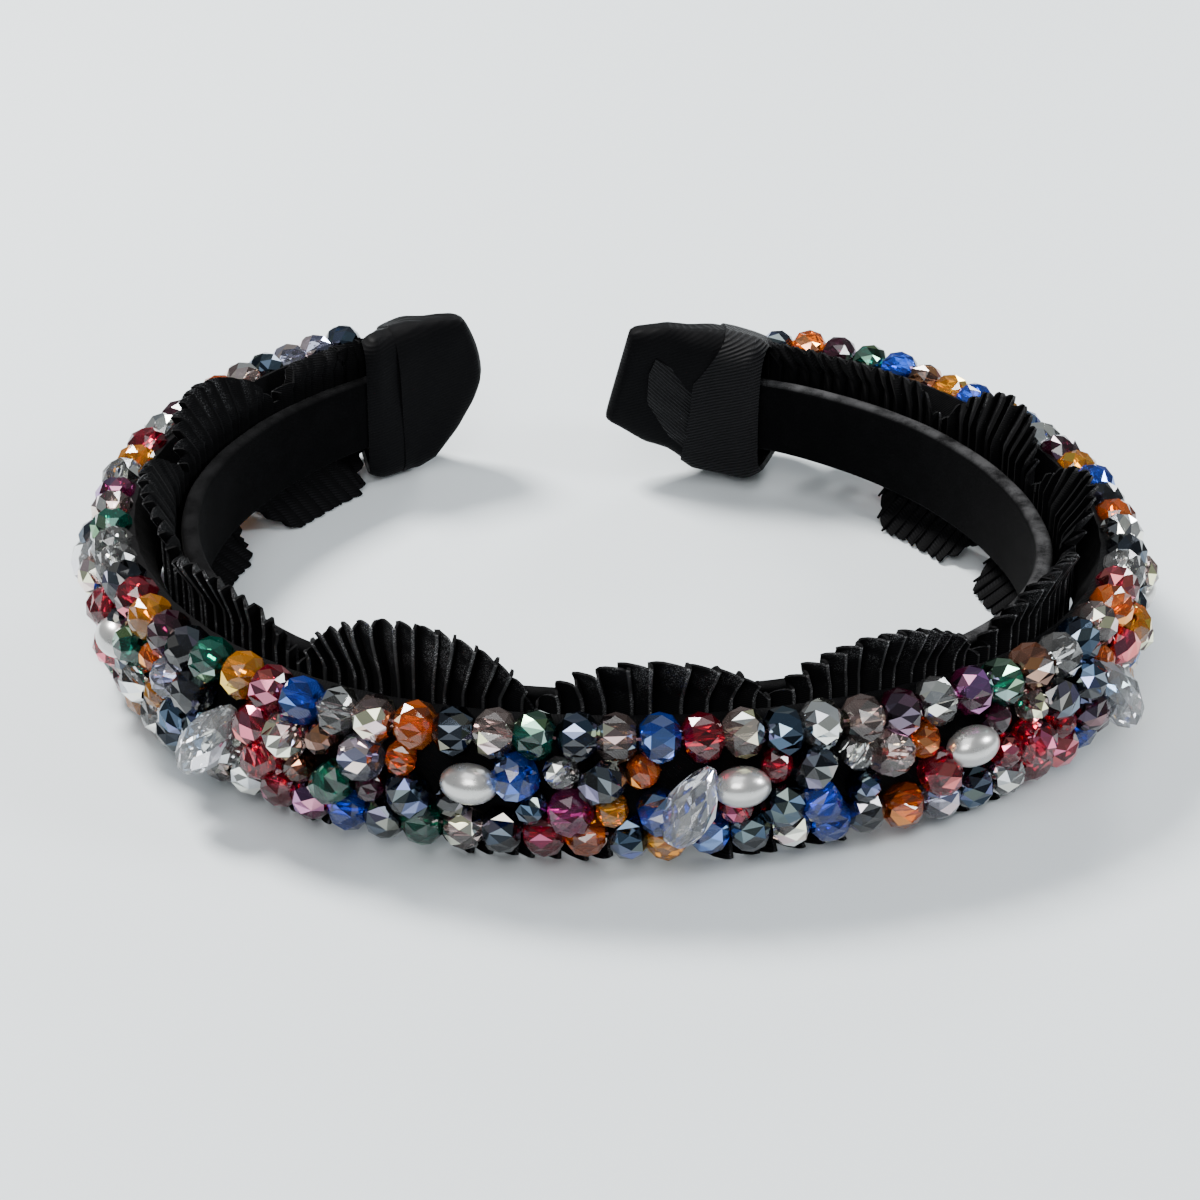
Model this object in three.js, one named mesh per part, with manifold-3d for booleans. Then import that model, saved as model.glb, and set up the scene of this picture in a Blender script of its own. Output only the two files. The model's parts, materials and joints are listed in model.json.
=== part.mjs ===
// An open beaded headband, lying on its lower edge as a hair band does on a table.
// From the head outwards it is a hard band in a velvet cover, a pleated ribbon that snakes up and down
// in scallops, and a padded strip that carries rows of faceted glass beads, with oval pearls and glass
// drops between them. A closed sleeve of ribbon covers each end.
// Millimetres, +Z up. The front of the band faces -Y, and its two ends lie side by side towards +Y.
import * as THREE from 'three';
import { mergeVertices } from 'three/addons/utils/BufferGeometryUtils.js';
import Module from 'manifold-3d';

const wasm = await Module();
wasm.setup();

// Head line: the inner face of the hard band, as tangent arcs from the front centre to each end
const FRONT_RADIUS = 83.6;
const RIGHT_SIDE_RADIUS = 38.1;
const RIGHT_REAR_RADIUS = 60.6;
const LEFT_SIDE_RADIUS = 52.2;
const LEFT_REAR_RADIUS = 64;
const RIGHT_ARCS = [
  { radius: FRONT_RADIUS, turn: 28 },
  { radius: RIGHT_SIDE_RADIUS, turn: 68 },
  { radius: RIGHT_REAR_RADIUS, turn: 82 },
];
const LEFT_ARCS = [
  { radius: FRONT_RADIUS, turn: 15 },
  { radius: LEFT_SIDE_RADIUS, turn: 97 },
  { radius: LEFT_REAR_RADIUS, turn: 47 },
];

// Hard band
const BAND_THICKNESS = 2.6;
const BAND_HEIGHT = 15;
const BAND_END_HEIGHT = 11;
const BAND_EDGE_BEVEL = 0.8;
const BAND_STEP = 8.4;
const BAND_FRONT_FLAT = 8;

// Pleated ribbon
const RIBBON_THICKNESS = 1.6;
const RIBBON_HALF_WIDTH = 6.8;
const CREST_RISE = 8;
const END_RISE = 2.8;
const END_RAMP = 5;
const LOWER_END_RISE = 0.8;
const CREST_ROUNDNESS = 0.85;
const PLEAT_PITCH = 3.7;
const PLEAT_RISE = 0.7;
const PINCHED_PLEAT_RISE = 0.35;
const UPPER_LEAN = 2.4;
const FRONT_FLARE = 4.8;
const REAR_FLARE = -5.4;
const FLARE_TURNS_FROM = 55;
const FLARE_TURNS_TO = 85;
const RIBBON_TUCK = 9;
const SCALLOP_FLATTENING = 1.7;

// Scallops of the upper edge, along the bead line: the dip nearest to the front centre, then the width of
// each scallop to its right and to its left, as shares of a whole scallop
const SCALLOP_WIDTH = 33.5;
const FIRST_DIP = -11.7;
const RIGHT_SCALLOPS = [1, 1, 1, 0.87, 0.87];
const LEFT_SCALLOPS = [1.14, 1.07, 1.01, 0.96];

// Padded strip under the beads, with a flat front and sloping shoulders
const STRIP_HALF_HEIGHT = 8.5;
const STRIP_THICKNESS = 6;
const STRIP_EDGE_THICKNESS = 3.6;
const STRIP_SHOULDER = 3.9;
const STRIP_TUCK = 8;
const STRIP_JOINT_BEADS = 2.5;

// Beads, pearls and drops
const BEAD_DIAMETER = 5.75;
const BEAD_LENGTH = 5.1;
const BEAD_SIDES = 10;
const BEAD_RIM = 0.46;
const BEAD_SEAT = 1.55;
const BEAD_PITCH = 5.3;
const STRIP_JOINT = STRIP_JOINT_BEADS * BEAD_PITCH;
const BEADS_PER_STRIP_SECTION = 2;
const SHORTEST_SECTION = 0.2;
const ROW_SPACING = 4.8;
const MOUTH_TO_BEAD = 1;
const PEARL_LENGTH = 7.6;
const PEARL_DIAMETER = 5.4;
const DROP_LENGTH = 11;
const DROP_DIAMETER = 6.2;
const STONE_SIDES = 10;

// How near to a pearl or a drop a bead may lie, as a share of the distance at which the two would touch
const PEARL_CROWDING = 0.9;
const DROP_CROWDING = 0.72;

// End sleeves
const SLEEVE_LENGTH = 27;
const SLEEVE_WALL = 1.2;
const SLEEVE_RISE = 12.4;
const SLEEVE_DROP = 11.8;
const SLEEVE_TIP_DEPTH = 1.6;
const SLEEVE_CORNER = 1.4;
const SLEEVE_OUTER_FALL = 2.4;
const RIGHT_TIP_SLANT = 4.4;
const LEFT_TIP_BACK = 1.8;
const BAND_TO_TIP = 9;

// Clearance between pieces that are sewn or glued together, and slack for the flats of curved pieces
const SEAM_GAP = 0.3;
const CHORD_SLACK = 0.2;

// Depths from the head line outwards
const RIBBON_DEPTH = RIBBON_THICKNESS + 2 * PLEAT_RISE;
const RIBBON_MIDDLE = BAND_THICKNESS + SEAM_GAP + RIBBON_DEPTH / 2;
const STRIP_BACK = BAND_THICKNESS + RIBBON_DEPTH + 2 * SEAM_GAP + CHORD_SLACK;
const EDGE_ROW_HEIGHT = 1.5 * ROW_SPACING;

function stripThickness(height) {
  const share = Math.min(1, (STRIP_HALF_HEIGHT - Math.abs(height)) / STRIP_SHOULDER);
  return THREE.MathUtils.lerp(STRIP_EDGE_THICKNESS, STRIP_THICKNESS, share);
}

const BEAD_LINE = STRIP_BACK + stripThickness(EDGE_ROW_HEIGHT) + BEAD_SEAT;

// Height of the middle of the band above the table: it stands on its flattened lower scallops
const MIDDLE_HEIGHT = RIBBON_HALF_WIDTH + CREST_RISE - SCALLOP_FLATTENING;

const radians = THREE.MathUtils.degToRad;
const reach = (arcs) =>
  arcs.reduce((sum, arc) => sum + (arc.radius + BEAD_LINE) * radians(arc.turn), 0);
const RIGHT_END = reach(RIGHT_ARCS);
const LEFT_END = -reach(LEFT_ARCS);
const RIGHT_MOUTH = RIGHT_END - SLEEVE_LENGTH;
const LEFT_MOUTH = LEFT_END + SLEEVE_LENGTH;

// Place and directions at a distance along the bead line, negative to the left of the front centre
function station(along) {
  const side = along < 0 ? -1 : 1;
  const arcs = side < 0 ? LEFT_ARCS : RIGHT_ARCS;
  let left = Math.abs(along);
  let heading = 0;
  let x = 0;
  let y = 0;
  arcs.forEach((arc, index) => {
    const whole = radians(arc.turn);
    const share = left / (arc.radius + BEAD_LINE);
    const turn = index === arcs.length - 1 ? share : Math.min(whole, share);
    x += arc.radius * (Math.sin(heading + turn) - Math.sin(heading));
    y += arc.radius * (Math.cos(heading) - Math.cos(heading + turn));
    heading += turn;
    left -= turn * (arc.radius + BEAD_LINE);
  });
  return {
    place: new THREE.Vector3(side * x, y, MIDDLE_HEIGHT),
    forward: new THREE.Vector3(Math.cos(heading), side * Math.sin(heading), 0),
    outward: new THREE.Vector3(side * Math.sin(heading), -Math.cos(heading), 0),
  };
}

// A point of the band: distance along it, depth outwards from the head line, height above its middle
function point(along, depth, height) {
  const { place, outward } = station(along);
  return place.addScaledVector(outward, depth).add(new THREE.Vector3(0, 0, height));
}

// Stations from one distance to another, both included, about a step apart
function spread(from, to, step) {
  const count = Math.max(1, Math.round((to - from) / step));
  return Array.from({ length: count + 1 }, (_, i) => from + ((to - from) * i) / count);
}

// A fixed value from 0 to 1 for each whole number, so that every build is the same
function scatter(number) {
  const value = Math.sin(number * 12.9898) * 43758.5453;
  return value - Math.floor(value);
}

// Closed surface through rings with equal numbers of points, capped at both ends
function loft(rings) {
  const count = rings[0].length;
  const positions = rings.flat().flatMap((p) => [p.x, p.y, p.z]);
  const index = [];
  for (let r = 0; r < rings.length - 1; r += 1) {
    for (let i = 0; i < count; i += 1) {
      const a = r * count + i;
      const b = r * count + ((i + 1) % count);
      index.push(a, a + count, b, b, a + count, b + count);
    }
  }
  for (let i = 1; i < count - 1; i += 1) {
    const last = (rings.length - 1) * count;
    index.push(0, i, i + 1);
    index.push(last, last + i + 1, last + i);
  }
  const geometry = new THREE.BufferGeometry();
  geometry.setAttribute('position', new THREE.Float32BufferAttribute(positions, 3));
  geometry.setIndex(index);
  return geometry;
}

// Solids for joining and cutting
const MERGE_DISTANCE = 1e-4;

function solidOf(geometry) {
  const bare = new THREE.BufferGeometry();
  bare.setAttribute('position', geometry.getAttribute('position'));
  bare.setIndex(geometry.index);
  const merged = mergeVertices(bare, MERGE_DISTANCE);
  const corners = merged.index.array;
  const kept = [];
  for (let i = 0; i < corners.length; i += 3) {
    const [a, b, c] = corners.slice(i, i + 3);
    if (a !== b && b !== c && c !== a) kept.push(a, b, c);
  }
  return new wasm.Manifold(
    new wasm.Mesh({
      numProp: 3,
      vertProperties: new Float32Array(merged.getAttribute('position').array),
      triVerts: new Uint32Array(kept),
    }),
  );
}

function geometryOf(solid) {
  const { vertProperties, triVerts } = solid.getMesh();
  const geometry = new THREE.BufferGeometry();
  geometry.setAttribute('position', new THREE.BufferAttribute(vertProperties, 3));
  geometry.setIndex(new THREE.BufferAttribute(triVerts, 1));
  return geometry;
}

// Materials
const velvet = new THREE.MeshStandardMaterial({ color: 0x121214, roughness: 0.95 });
const pleatedSatin = new THREE.MeshStandardMaterial({ color: 0x0d0d0f, roughness: 0.6 });
const ribbonWeave = new THREE.MeshStandardMaterial({ color: 0x17171a, roughness: 0.7 });
const beadGlass = new THREE.MeshStandardMaterial({ color: 0x5a4f6a, roughness: 0.08 });
const clearGlass = new THREE.MeshStandardMaterial({ color: 0xe6e9ee, roughness: 0.04 });
const pearlCoat = new THREE.MeshStandardMaterial({ color: 0xd8d4cc, roughness: 0.22 });

const headband = new THREE.Group();

function addPiece(name, geometry, material) {
  geometry.computeVertexNormals();
  const mesh = new THREE.Mesh(geometry, material);
  mesh.name = name;
  headband.add(mesh);
}

// Hard band: a strip with bevelled edges that gets lower towards its ends
function hardBand() {
  const from = LEFT_END + BAND_TO_TIP;
  const to = RIGHT_END - BAND_TO_TIP;
  const flat = BAND_FRONT_FLAT / 2;
  const stops = [...spread(from, -flat, BAND_STEP), ...spread(flat, to, BAND_STEP)];
  const rings = stops.map((along) => {
    const share = Math.abs(along) / (along < 0 ? -from : to);
    const half = THREE.MathUtils.lerp(BAND_HEIGHT, BAND_END_HEIGHT, share ** 2) / 2;
    const profile = [
      [0, half - BAND_EDGE_BEVEL],
      [0, -half + BAND_EDGE_BEVEL],
      [BAND_EDGE_BEVEL, -half],
      [BAND_THICKNESS - BAND_EDGE_BEVEL, -half],
      [BAND_THICKNESS, -half + BAND_EDGE_BEVEL],
      [BAND_THICKNESS, half - BAND_EDGE_BEVEL],
      [BAND_THICKNESS - BAND_EDGE_BEVEL, half],
      [BAND_EDGE_BEVEL, half],
    ];
    return profile.map(([depth, height]) => point(along, depth, height));
  });
  return loft(rings);
}

// Dips of the upper edge from the left end to the right one
function dips() {
  const right = RIGHT_SCALLOPS.map((_, i) =>
    RIGHT_SCALLOPS.slice(0, i + 1).reduce((sum, share) => sum + share * SCALLOP_WIDTH, FIRST_DIP),
  );
  const left = LEFT_SCALLOPS.map((_, i) =>
    LEFT_SCALLOPS.slice(0, i + 1).reduce((sum, share) => sum - share * SCALLOP_WIDTH, FIRST_DIP),
  );
  return [...left.reverse(), FIRST_DIP, ...right];
}

const DIPS = dips();

// Scallops passed at a distance along the band: a whole number at each dip of the upper edge
function scallopPhase(along) {
  const last = DIPS.length - 1;
  const found = DIPS.findIndex((dip) => dip > along);
  const upper = Math.min(Math.max(found < 0 ? last : found, 1), last);
  const lower = upper - 1;
  return lower + (along - DIPS[lower]) / (DIPS[upper] - DIPS[lower]);
}

// Heights of the ribbon's upper and lower edge, from its middle
function ribbonEdges(along) {
  const phase = scallopPhase(along);
  const last = DIPS.length - 1;
  const past = Math.max(DIPS[0] - along, along - DIPS[last]);
  const crest = CREST_RISE * Math.abs(Math.sin(Math.PI * phase)) ** CREST_ROUNDNESS;
  const upperRise = past > 0 ? END_RISE * Math.min(1, past / END_RAMP) : crest;
  const deepest = phase > -0.5 && phase < last + 0.5 ? CREST_RISE : LOWER_END_RISE;
  const lowerRise = deepest * Math.abs(Math.cos(Math.PI * phase)) ** CREST_ROUNDNESS;
  return {
    upper: RIBBON_HALF_WIDTH + upperRise,
    lower: Math.min(RIBBON_HALF_WIDTH + lowerRise, MIDDLE_HEIGHT),
  };
}

// How far the lower scallops spread: outwards under the beads at the front, and inwards at the rear
function lowerFlare(along) {
  const share = THREE.MathUtils.smoothstep(Math.abs(along), FLARE_TURNS_FROM, FLARE_TURNS_TO);
  return THREE.MathUtils.lerp(FRONT_FLARE, REAR_FLARE, share);
}

// Pleated ribbon: folds run across it, its upper scallops lean outwards over the strip, and its lower
// scallops spread under it
function pleatedRibbon() {
  const from = LEFT_MOUTH - RIBBON_TUCK;
  const to = RIGHT_MOUTH + RIBBON_TUCK;
  const rings = spread(from, to, PLEAT_PITCH / 2).map((along, index) => {
    const fold = index % 2 === 0 ? 1 : -1;
    const { upper, lower } = ribbonEdges(along);
    const ledge = STRIP_HALF_HEIGHT + SEAM_GAP;
    const bend = Math.min(lower - SEAM_GAP, ledge);
    const upperBend = Math.min(upper - SEAM_GAP, ledge);
    const flare = (lowerFlare(along) * (lower - SEAM_GAP - bend)) / (MIDDLE_HEIGHT - ledge);
    const crest = RIBBON_HALF_WIDTH + CREST_RISE;
    const lean = (UPPER_LEAN * (upper - SEAM_GAP - upperBend)) / (crest - ledge);
    const rows = [
      { height: -lower, middle: RIBBON_MIDDLE + fold * PLEAT_RISE + flare },
      { height: -bend, middle: RIBBON_MIDDLE + fold * PINCHED_PLEAT_RISE },
      { height: upperBend, middle: RIBBON_MIDDLE + fold * PINCHED_PLEAT_RISE },
      { height: upper, middle: RIBBON_MIDDLE + fold * PLEAT_RISE + lean },
    ];
    const half = RIBBON_THICKNESS / 2;
    const inner = rows.map((row) => point(along, row.middle - half, row.height)).reverse();
    const outer = rows.map((row) => point(along, row.middle + half, row.height));
    return [...inner, ...outer];
  });
  return loft(rings);
}

// Padded strip between two distances, with its sections midway between the beads of the edge rows
function paddedStrip(from, to) {
  const section = BEAD_PITCH * BEADS_PER_STRIP_SECTION;
  const first = Math.ceil((from - STRIP_JOINT) / section + SHORTEST_SECTION);
  const last = Math.floor((to - STRIP_JOINT) / section - SHORTEST_SECTION);
  const inside = Array.from({ length: last - first + 1 }, (_, i) => STRIP_JOINT + (first + i) * section);
  const shoulder = STRIP_HALF_HEIGHT - STRIP_SHOULDER;
  const heights = [-STRIP_HALF_HEIGHT, -shoulder, shoulder, STRIP_HALF_HEIGHT];
  const rings = [from, ...inside, to].map((along) => [
    point(along, STRIP_BACK, STRIP_HALF_HEIGHT),
    point(along, STRIP_BACK, -STRIP_HALF_HEIGHT),
    ...heights.map((height) => point(along, STRIP_BACK + stripThickness(height), height)),
  ]);
  return loft(rings);
}

// A turned shape about its own Y axis, from a profile that starts and ends on the axis
function turned(profile, sides) {
  return new THREE.LatheGeometry(profile.map(([r, y]) => new THREE.Vector2(r, y)), sides);
}

function beadShape() {
  const radius = BEAD_DIAMETER / 2;
  const half = BEAD_LENGTH / 2;
  return turned([[0, -half], [radius, -half * BEAD_RIM], [radius, half * BEAD_RIM], [0, half]], BEAD_SIDES);
}

function pearlShape() {
  const profile = [-1, -0.8, -0.32, 0.32, 0.8, 1].map((y) => [
    (PEARL_DIAMETER / 2) * Math.sqrt(1 - y * y),
    (PEARL_LENGTH / 2) * y,
  ]);
  return turned(profile, STONE_SIDES);
}

// A drop is widest low down, and its drilled top is narrow
function dropShape() {
  const shares = [
    { height: -0.5, radius: 0 },
    { height: -0.44, radius: 0.42 },
    { height: -0.2, radius: 1 },
    { height: 0.1, radius: 0.86 },
    { height: 0.44, radius: 0.3 },
    { height: 0.5, radius: 0 },
  ];
  const profile = shares.map(({ height, radius }) => [
    (radius * DROP_DIAMETER) / 2,
    height * DROP_LENGTH,
  ]);
  return turned(profile, STONE_SIDES);
}

// Puts a shape at a place on the strip, its own Y axis turned by tilt from the band's direction
// towards +Z, and by lift outwards from the strip
function seat(geometry, along, depth, height, tilt, lift) {
  const { forward, outward } = station(along);
  const up = new THREE.Vector3(0, 0, 1);
  const axis = forward
    .clone()
    .multiplyScalar(Math.cos(tilt))
    .addScaledVector(up, Math.sin(tilt))
    .multiplyScalar(Math.cos(lift))
    .addScaledVector(outward, Math.sin(lift));
  const side = new THREE.Vector3().crossVectors(axis, up);
  if (side.lengthSq() < 1e-6) side.copy(forward);
  side.normalize();
  const third = new THREE.Vector3().crossVectors(side, axis);
  const matrix = new THREE.Matrix4().makeBasis(side, axis, third);
  matrix.setPosition(point(along, depth, height));
  return geometry.applyMatrix4(matrix);
}

// Main stones that are pieces of their own: place along the band in beads from its front centre, height
// in row spacings, and for a drop the degrees that it turns from the band's direction and lifts off it
const PEARLS = [
  { beads: -26.5, row: -0.3 },
  { beads: -15.3, row: 0.2 },
  { beads: -3.5, row: 0.22 },
  { beads: 3.1, row: 0.2 },
  { beads: 8.8, row: 0.16 },
  { beads: 18.9, row: -0.25 },
  { beads: 28.7, row: 0.2 },
];
const DROPS = [
  { beads: -29.8, row: -0.2, turn: 60, lift: -6 },
  { beads: -20.4, row: -0.2, turn: 120, lift: -18 },
  { beads: -10.4, row: -0.35, turn: 56, lift: -6 },
  { beads: 1.72, row: -0.32, turn: 58, lift: -6 },
  { beads: 13.7, row: -0.2, turn: 128, lift: -20 },
  { beads: 24.2, row: -0.2, turn: 60, lift: -8 },
];
const STRIP_FRONT = STRIP_BACK + STRIP_THICKNESS;
const PEARL_DEPTH = STRIP_FRONT + SEAM_GAP + PEARL_DIAMETER / 2;
const DROP_DEPTH = STRIP_FRONT + DROP_DIAMETER / 2;

const placePearl = (pearl, geometry) =>
  seat(geometry, pearl.beads * BEAD_PITCH, PEARL_DEPTH, pearl.row * ROW_SPACING, 0, 0);
const placeDrop = (drop, geometry) =>
  seat(
    geometry,
    drop.beads * BEAD_PITCH,
    DROP_DEPTH,
    drop.row * ROW_SPACING,
    radians(drop.turn),
    radians(drop.lift),
  );

// True where a main stone takes the place of a bead of the two middle rows
function taken(along, height) {
  const nearPearl = PEARLS.some((pearl) => {
    const across = (along - pearl.beads * BEAD_PITCH) / ((PEARL_LENGTH + BEAD_DIAMETER) / 2);
    const up = (height - pearl.row * ROW_SPACING) / ((PEARL_DIAMETER + BEAD_DIAMETER) / 2);
    return Math.hypot(across, up) < PEARL_CROWDING;
  });
  const crowded = DROP_DIAMETER * DROP_CROWDING;
  const nearDrop = DROPS.some((drop) => Math.abs(along - drop.beads * BEAD_PITCH) < crowded);
  return nearPearl || nearDrop;
}

// Rows of beads from the lower edge to the upper one, in row spacings from the middle. The upper row is
// strung along the band bead by bead. Of the others every second or eighth bead is a solid.
const BEAD_ROWS = [
  { row: -1.5, shift: 0.5, start: 0, every: 2, jumble: 0 },
  { row: -0.5, shift: 0, start: 1, every: 8, jumble: 1 },
  { row: 0.5, shift: 0, start: -2, every: 8, jumble: 1 },
  { row: 1.5, shift: 0.5, start: 0, every: 1, jumble: 0 },
];
const JUMBLE_SWING = 2.4;

function beadPlaces() {
  const margin = MOUTH_TO_BEAD + BEAD_DIAMETER / 2;
  return BEAD_ROWS.flatMap(({ row, shift, start, every, jumble }) => {
    const height = row * ROW_SPACING;
    const first = Math.ceil((LEFT_MOUTH + margin - STRIP_JOINT) / BEAD_PITCH - shift);
    const last = Math.floor((RIGHT_MOUTH - margin - STRIP_JOINT) / BEAD_PITCH - shift);
    const numbers = Array.from({ length: last - first + 1 }, (_, i) => first + i);
    return numbers
      .map((number) => ({
        along: STRIP_JOINT + (number + shift) * BEAD_PITCH,
        height,
        tilt: jumble * JUMBLE_SWING * (scatter(number + row) - 0.5),
        used: (((number - start) % every) + every) % every === 0,
      }))
      .filter(({ along, used }) => used && !(jumble && taken(along, height)));
  });
}

// One half of the strip with its beads joined to it, and seats cut for the main stones
function beadedStrip(from, to) {
  const beads = beadPlaces()
    .filter(({ along }) => along > from && along < to)
    .map(({ along, height, tilt }) => {
      const depth = STRIP_BACK + stripThickness(height) + BEAD_SEAT;
      return solidOf(seat(beadShape(), along, depth, height, tilt, 0));
    });
  const grown = (shape, size) => {
    const factor = 1 + (2 * SEAM_GAP) / size;
    return shape.scale(factor, factor, factor);
  };
  const seats = [
    ...PEARLS.map((pearl) => solidOf(placePearl(pearl, grown(pearlShape(), PEARL_DIAMETER)))),
    ...DROPS.map((drop) => solidOf(placeDrop(drop, grown(dropShape(), DROP_DIAMETER)))),
  ];
  const joined = wasm.Manifold.union([solidOf(paddedStrip(from, to)), ...beads]);
  const bodies = seats.reduce((solid, stone) => solid.subtract(stone), joined).decompose();
  bodies.sort((a, b) => b.volume() - a.volume());
  return geometryOf(bodies[0]);
}

// End sleeves from the mouth, at share 0, to the closed tip, at share 1: how far each section reaches
// above and below the middle of the band and outwards, as shares of the sleeve's rise, drop and depth
const RIGHT_SECTIONS = [
  { share: 0, rise: 1, drop: 0.88, depth: 1 },
  { share: 0.18, rise: 1.02, drop: 0.91, depth: 1.03 },
  { share: 0.32, rise: 0.99, drop: 0.88, depth: 1 },
  { share: 0.44, rise: 1, drop: 0.85, depth: 0.74 },
  { share: 0.54, rise: 0.98, drop: 0.68, depth: 0.46 },
  { share: 0.6, rise: 0.94, drop: 0.61, depth: 0.28 },
  { share: 0.75, rise: 0.97, drop: 0.6, depth: 0.16 },
  { share: 1, rise: 0.98, drop: 0.36, depth: 0 },
];
const LEFT_SECTIONS = [
  { share: 0, rise: 1, drop: 1, depth: 1 },
  { share: 0.18, rise: 1.02, drop: 1.02, depth: 1.02 },
  { share: 0.32, rise: 1, drop: 1, depth: 1 },
  { share: 0.46, rise: 1.01, drop: 0.99, depth: 0.7 },
  { share: 0.58, rise: 1, drop: 0.93, depth: 0.4 },
  { share: 0.64, rise: 0.97, drop: 0.84, depth: 0.28 },
  { share: 0.78, rise: 0.99, drop: 0.66, depth: 0.16 },
  { share: 0.92, rise: 0.99, drop: 0.42, depth: 0.05 },
  { share: 1, rise: 0.93, drop: 0.12, depth: 0 },
];
const SLEEVE_DEPTH = STRIP_FRONT + SEAM_GAP + CHORD_SLACK;

// Closed form of a sleeve, or of its hollow when inset by the wall
function sleeveForm({ mouth, tip, sections, slant }, inset) {
  const direction = Math.sign(tip - mouth);
  const length = Math.abs(tip - mouth) - inset;
  const rings = sections.map(({ share, rise, drop, depth }) => {
    const opening = share === 0 ? 2 * inset : 0;
    const top = rise * SLEEVE_RISE - inset;
    const bottom = -drop * SLEEVE_DROP + inset;
    const near = -SEAM_GAP - SLEEVE_WALL + inset;
    const far = THREE.MathUtils.lerp(SLEEVE_TIP_DEPTH, SLEEVE_DEPTH, depth) + SLEEVE_WALL - inset;
    const outerTop = top - SLEEVE_OUTER_FALL * Math.min(1, depth);
    const section = [
      [near, top - SLEEVE_CORNER],
      [near, bottom + SLEEVE_CORNER],
      [near + SLEEVE_CORNER, bottom],
      [far - SLEEVE_CORNER, bottom],
      [far, bottom + SLEEVE_CORNER],
      [far, outerTop - SLEEVE_CORNER],
      [far - SLEEVE_CORNER, outerTop],
      [near + SLEEVE_CORNER, top],
    ];
    return section.map(([deepness, height]) => {
      const lean = slant * share * ((top - height) / (top - bottom) - 0.5);
      return point(mouth + direction * (share * length - opening + lean), deepness, height);
    });
  });
  return solidOf(loft(direction > 0 ? rings : rings.reverse()));
}

const endSleeve = (sleeve) =>
  geometryOf(sleeveForm(sleeve, 0).subtract(sleeveForm(sleeve, SLEEVE_WALL)));

const LEFT_SLEEVE = {
  mouth: LEFT_MOUTH,
  tip: LEFT_END + LEFT_TIP_BACK,
  sections: LEFT_SECTIONS,
  slant: 0,
};
const RIGHT_SLEEVE = {
  mouth: RIGHT_MOUTH,
  tip: RIGHT_END,
  sections: RIGHT_SECTIONS,
  slant: RIGHT_TIP_SLANT,
};

addPiece('inner_band', hardBand(), velvet);
addPiece('pleated_ribbon', pleatedRibbon(), pleatedSatin);
const leftTuck = LEFT_MOUTH - STRIP_TUCK;
const rightTuck = RIGHT_MOUTH + STRIP_TUCK;
const halfGap = SEAM_GAP / 2;
addPiece('beaded_strip_left', beadedStrip(leftTuck, STRIP_JOINT - halfGap), beadGlass);
addPiece('beaded_strip_right', beadedStrip(STRIP_JOINT + halfGap, rightTuck), beadGlass);
addPiece('end_sleeve_left', endSleeve(LEFT_SLEEVE), ribbonWeave);
addPiece('end_sleeve_right', endSleeve(RIGHT_SLEEVE), ribbonWeave);
PEARLS.forEach((pearl, i) => {
  addPiece(`pearl_${i + 1}`, geometryOf(solidOf(placePearl(pearl, pearlShape()))), pearlCoat);
});
DROPS.forEach((drop, i) => {
  addPiece(`glass_drop_${i + 1}`, geometryOf(solidOf(placeDrop(drop, dropShape()))), clearGlass);
});

// The origin is the middle of the footprint, on the table
const extent = new THREE.Box3().setFromObject(headband);
const middle = extent.getCenter(new THREE.Vector3());
headband.position.set(-middle.x, -middle.y, -extent.min.z);

export default headband;
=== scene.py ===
import json
import math
from random import Random

import bmesh
import bpy
import numpy as np
from bpy.props import FloatProperty, FloatVectorProperty, PointerProperty
from mathutils import Matrix, Vector


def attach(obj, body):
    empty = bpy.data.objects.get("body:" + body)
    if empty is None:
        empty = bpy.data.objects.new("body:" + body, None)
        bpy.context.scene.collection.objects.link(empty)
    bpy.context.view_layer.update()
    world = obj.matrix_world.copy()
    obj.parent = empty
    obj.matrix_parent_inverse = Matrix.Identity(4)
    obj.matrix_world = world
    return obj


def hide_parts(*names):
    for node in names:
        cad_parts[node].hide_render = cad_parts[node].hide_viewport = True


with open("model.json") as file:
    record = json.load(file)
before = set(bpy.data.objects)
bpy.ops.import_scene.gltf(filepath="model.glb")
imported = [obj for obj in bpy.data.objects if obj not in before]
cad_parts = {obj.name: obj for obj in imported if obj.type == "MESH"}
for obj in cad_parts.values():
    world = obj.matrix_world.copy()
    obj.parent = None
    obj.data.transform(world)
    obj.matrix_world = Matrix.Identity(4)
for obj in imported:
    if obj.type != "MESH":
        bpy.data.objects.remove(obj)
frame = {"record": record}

bl_info = {
    "name": "Beaded Headband",
    "version": (1, 0, 0),
    "blender": (4, 5, 0),
    "location": "View3D > Sidebar > Headband",
    "description": "Builds an open headband with a pleated ribbon, faceted glass beads, pearls and drops",
    "category": "Object",
}

MM = 0.001

# Inner face of the hard band as tangent arcs from the front centre: radius, and degrees turned
RIGHT_ARCS = ((83.6 * MM, 28), (38.1 * MM, 68), (60.6 * MM, 82))
LEFT_ARCS = ((83.6 * MM, 15), (52.2 * MM, 97), (64.0 * MM, 47))
BEAD_LINE = 12.35 * MM
FRONT_SEAT = Vector(frame["record"]["mounts"][0]["pos_m"]) - Vector((0, 0.07 * MM, 0))

# Distances along the line of beads, from the front centre, negative to the left
RIGHT_END = sum((radius + BEAD_LINE) * math.radians(turn) for radius, turn in RIGHT_ARCS)
LEFT_END = -sum((radius + BEAD_LINE) * math.radians(turn) for radius, turn in LEFT_ARCS)
SLEEVE_LENGTH = 27 * MM
RIGHT_MOUTH = RIGHT_END - SLEEVE_LENGTH
LEFT_MOUTH = LEFT_END + SLEEVE_LENGTH
BAND_TO_TIP = 9 * MM
RIBBON_TUCK = 8 * MM
STRIP_TUCK = 7 * MM

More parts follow.
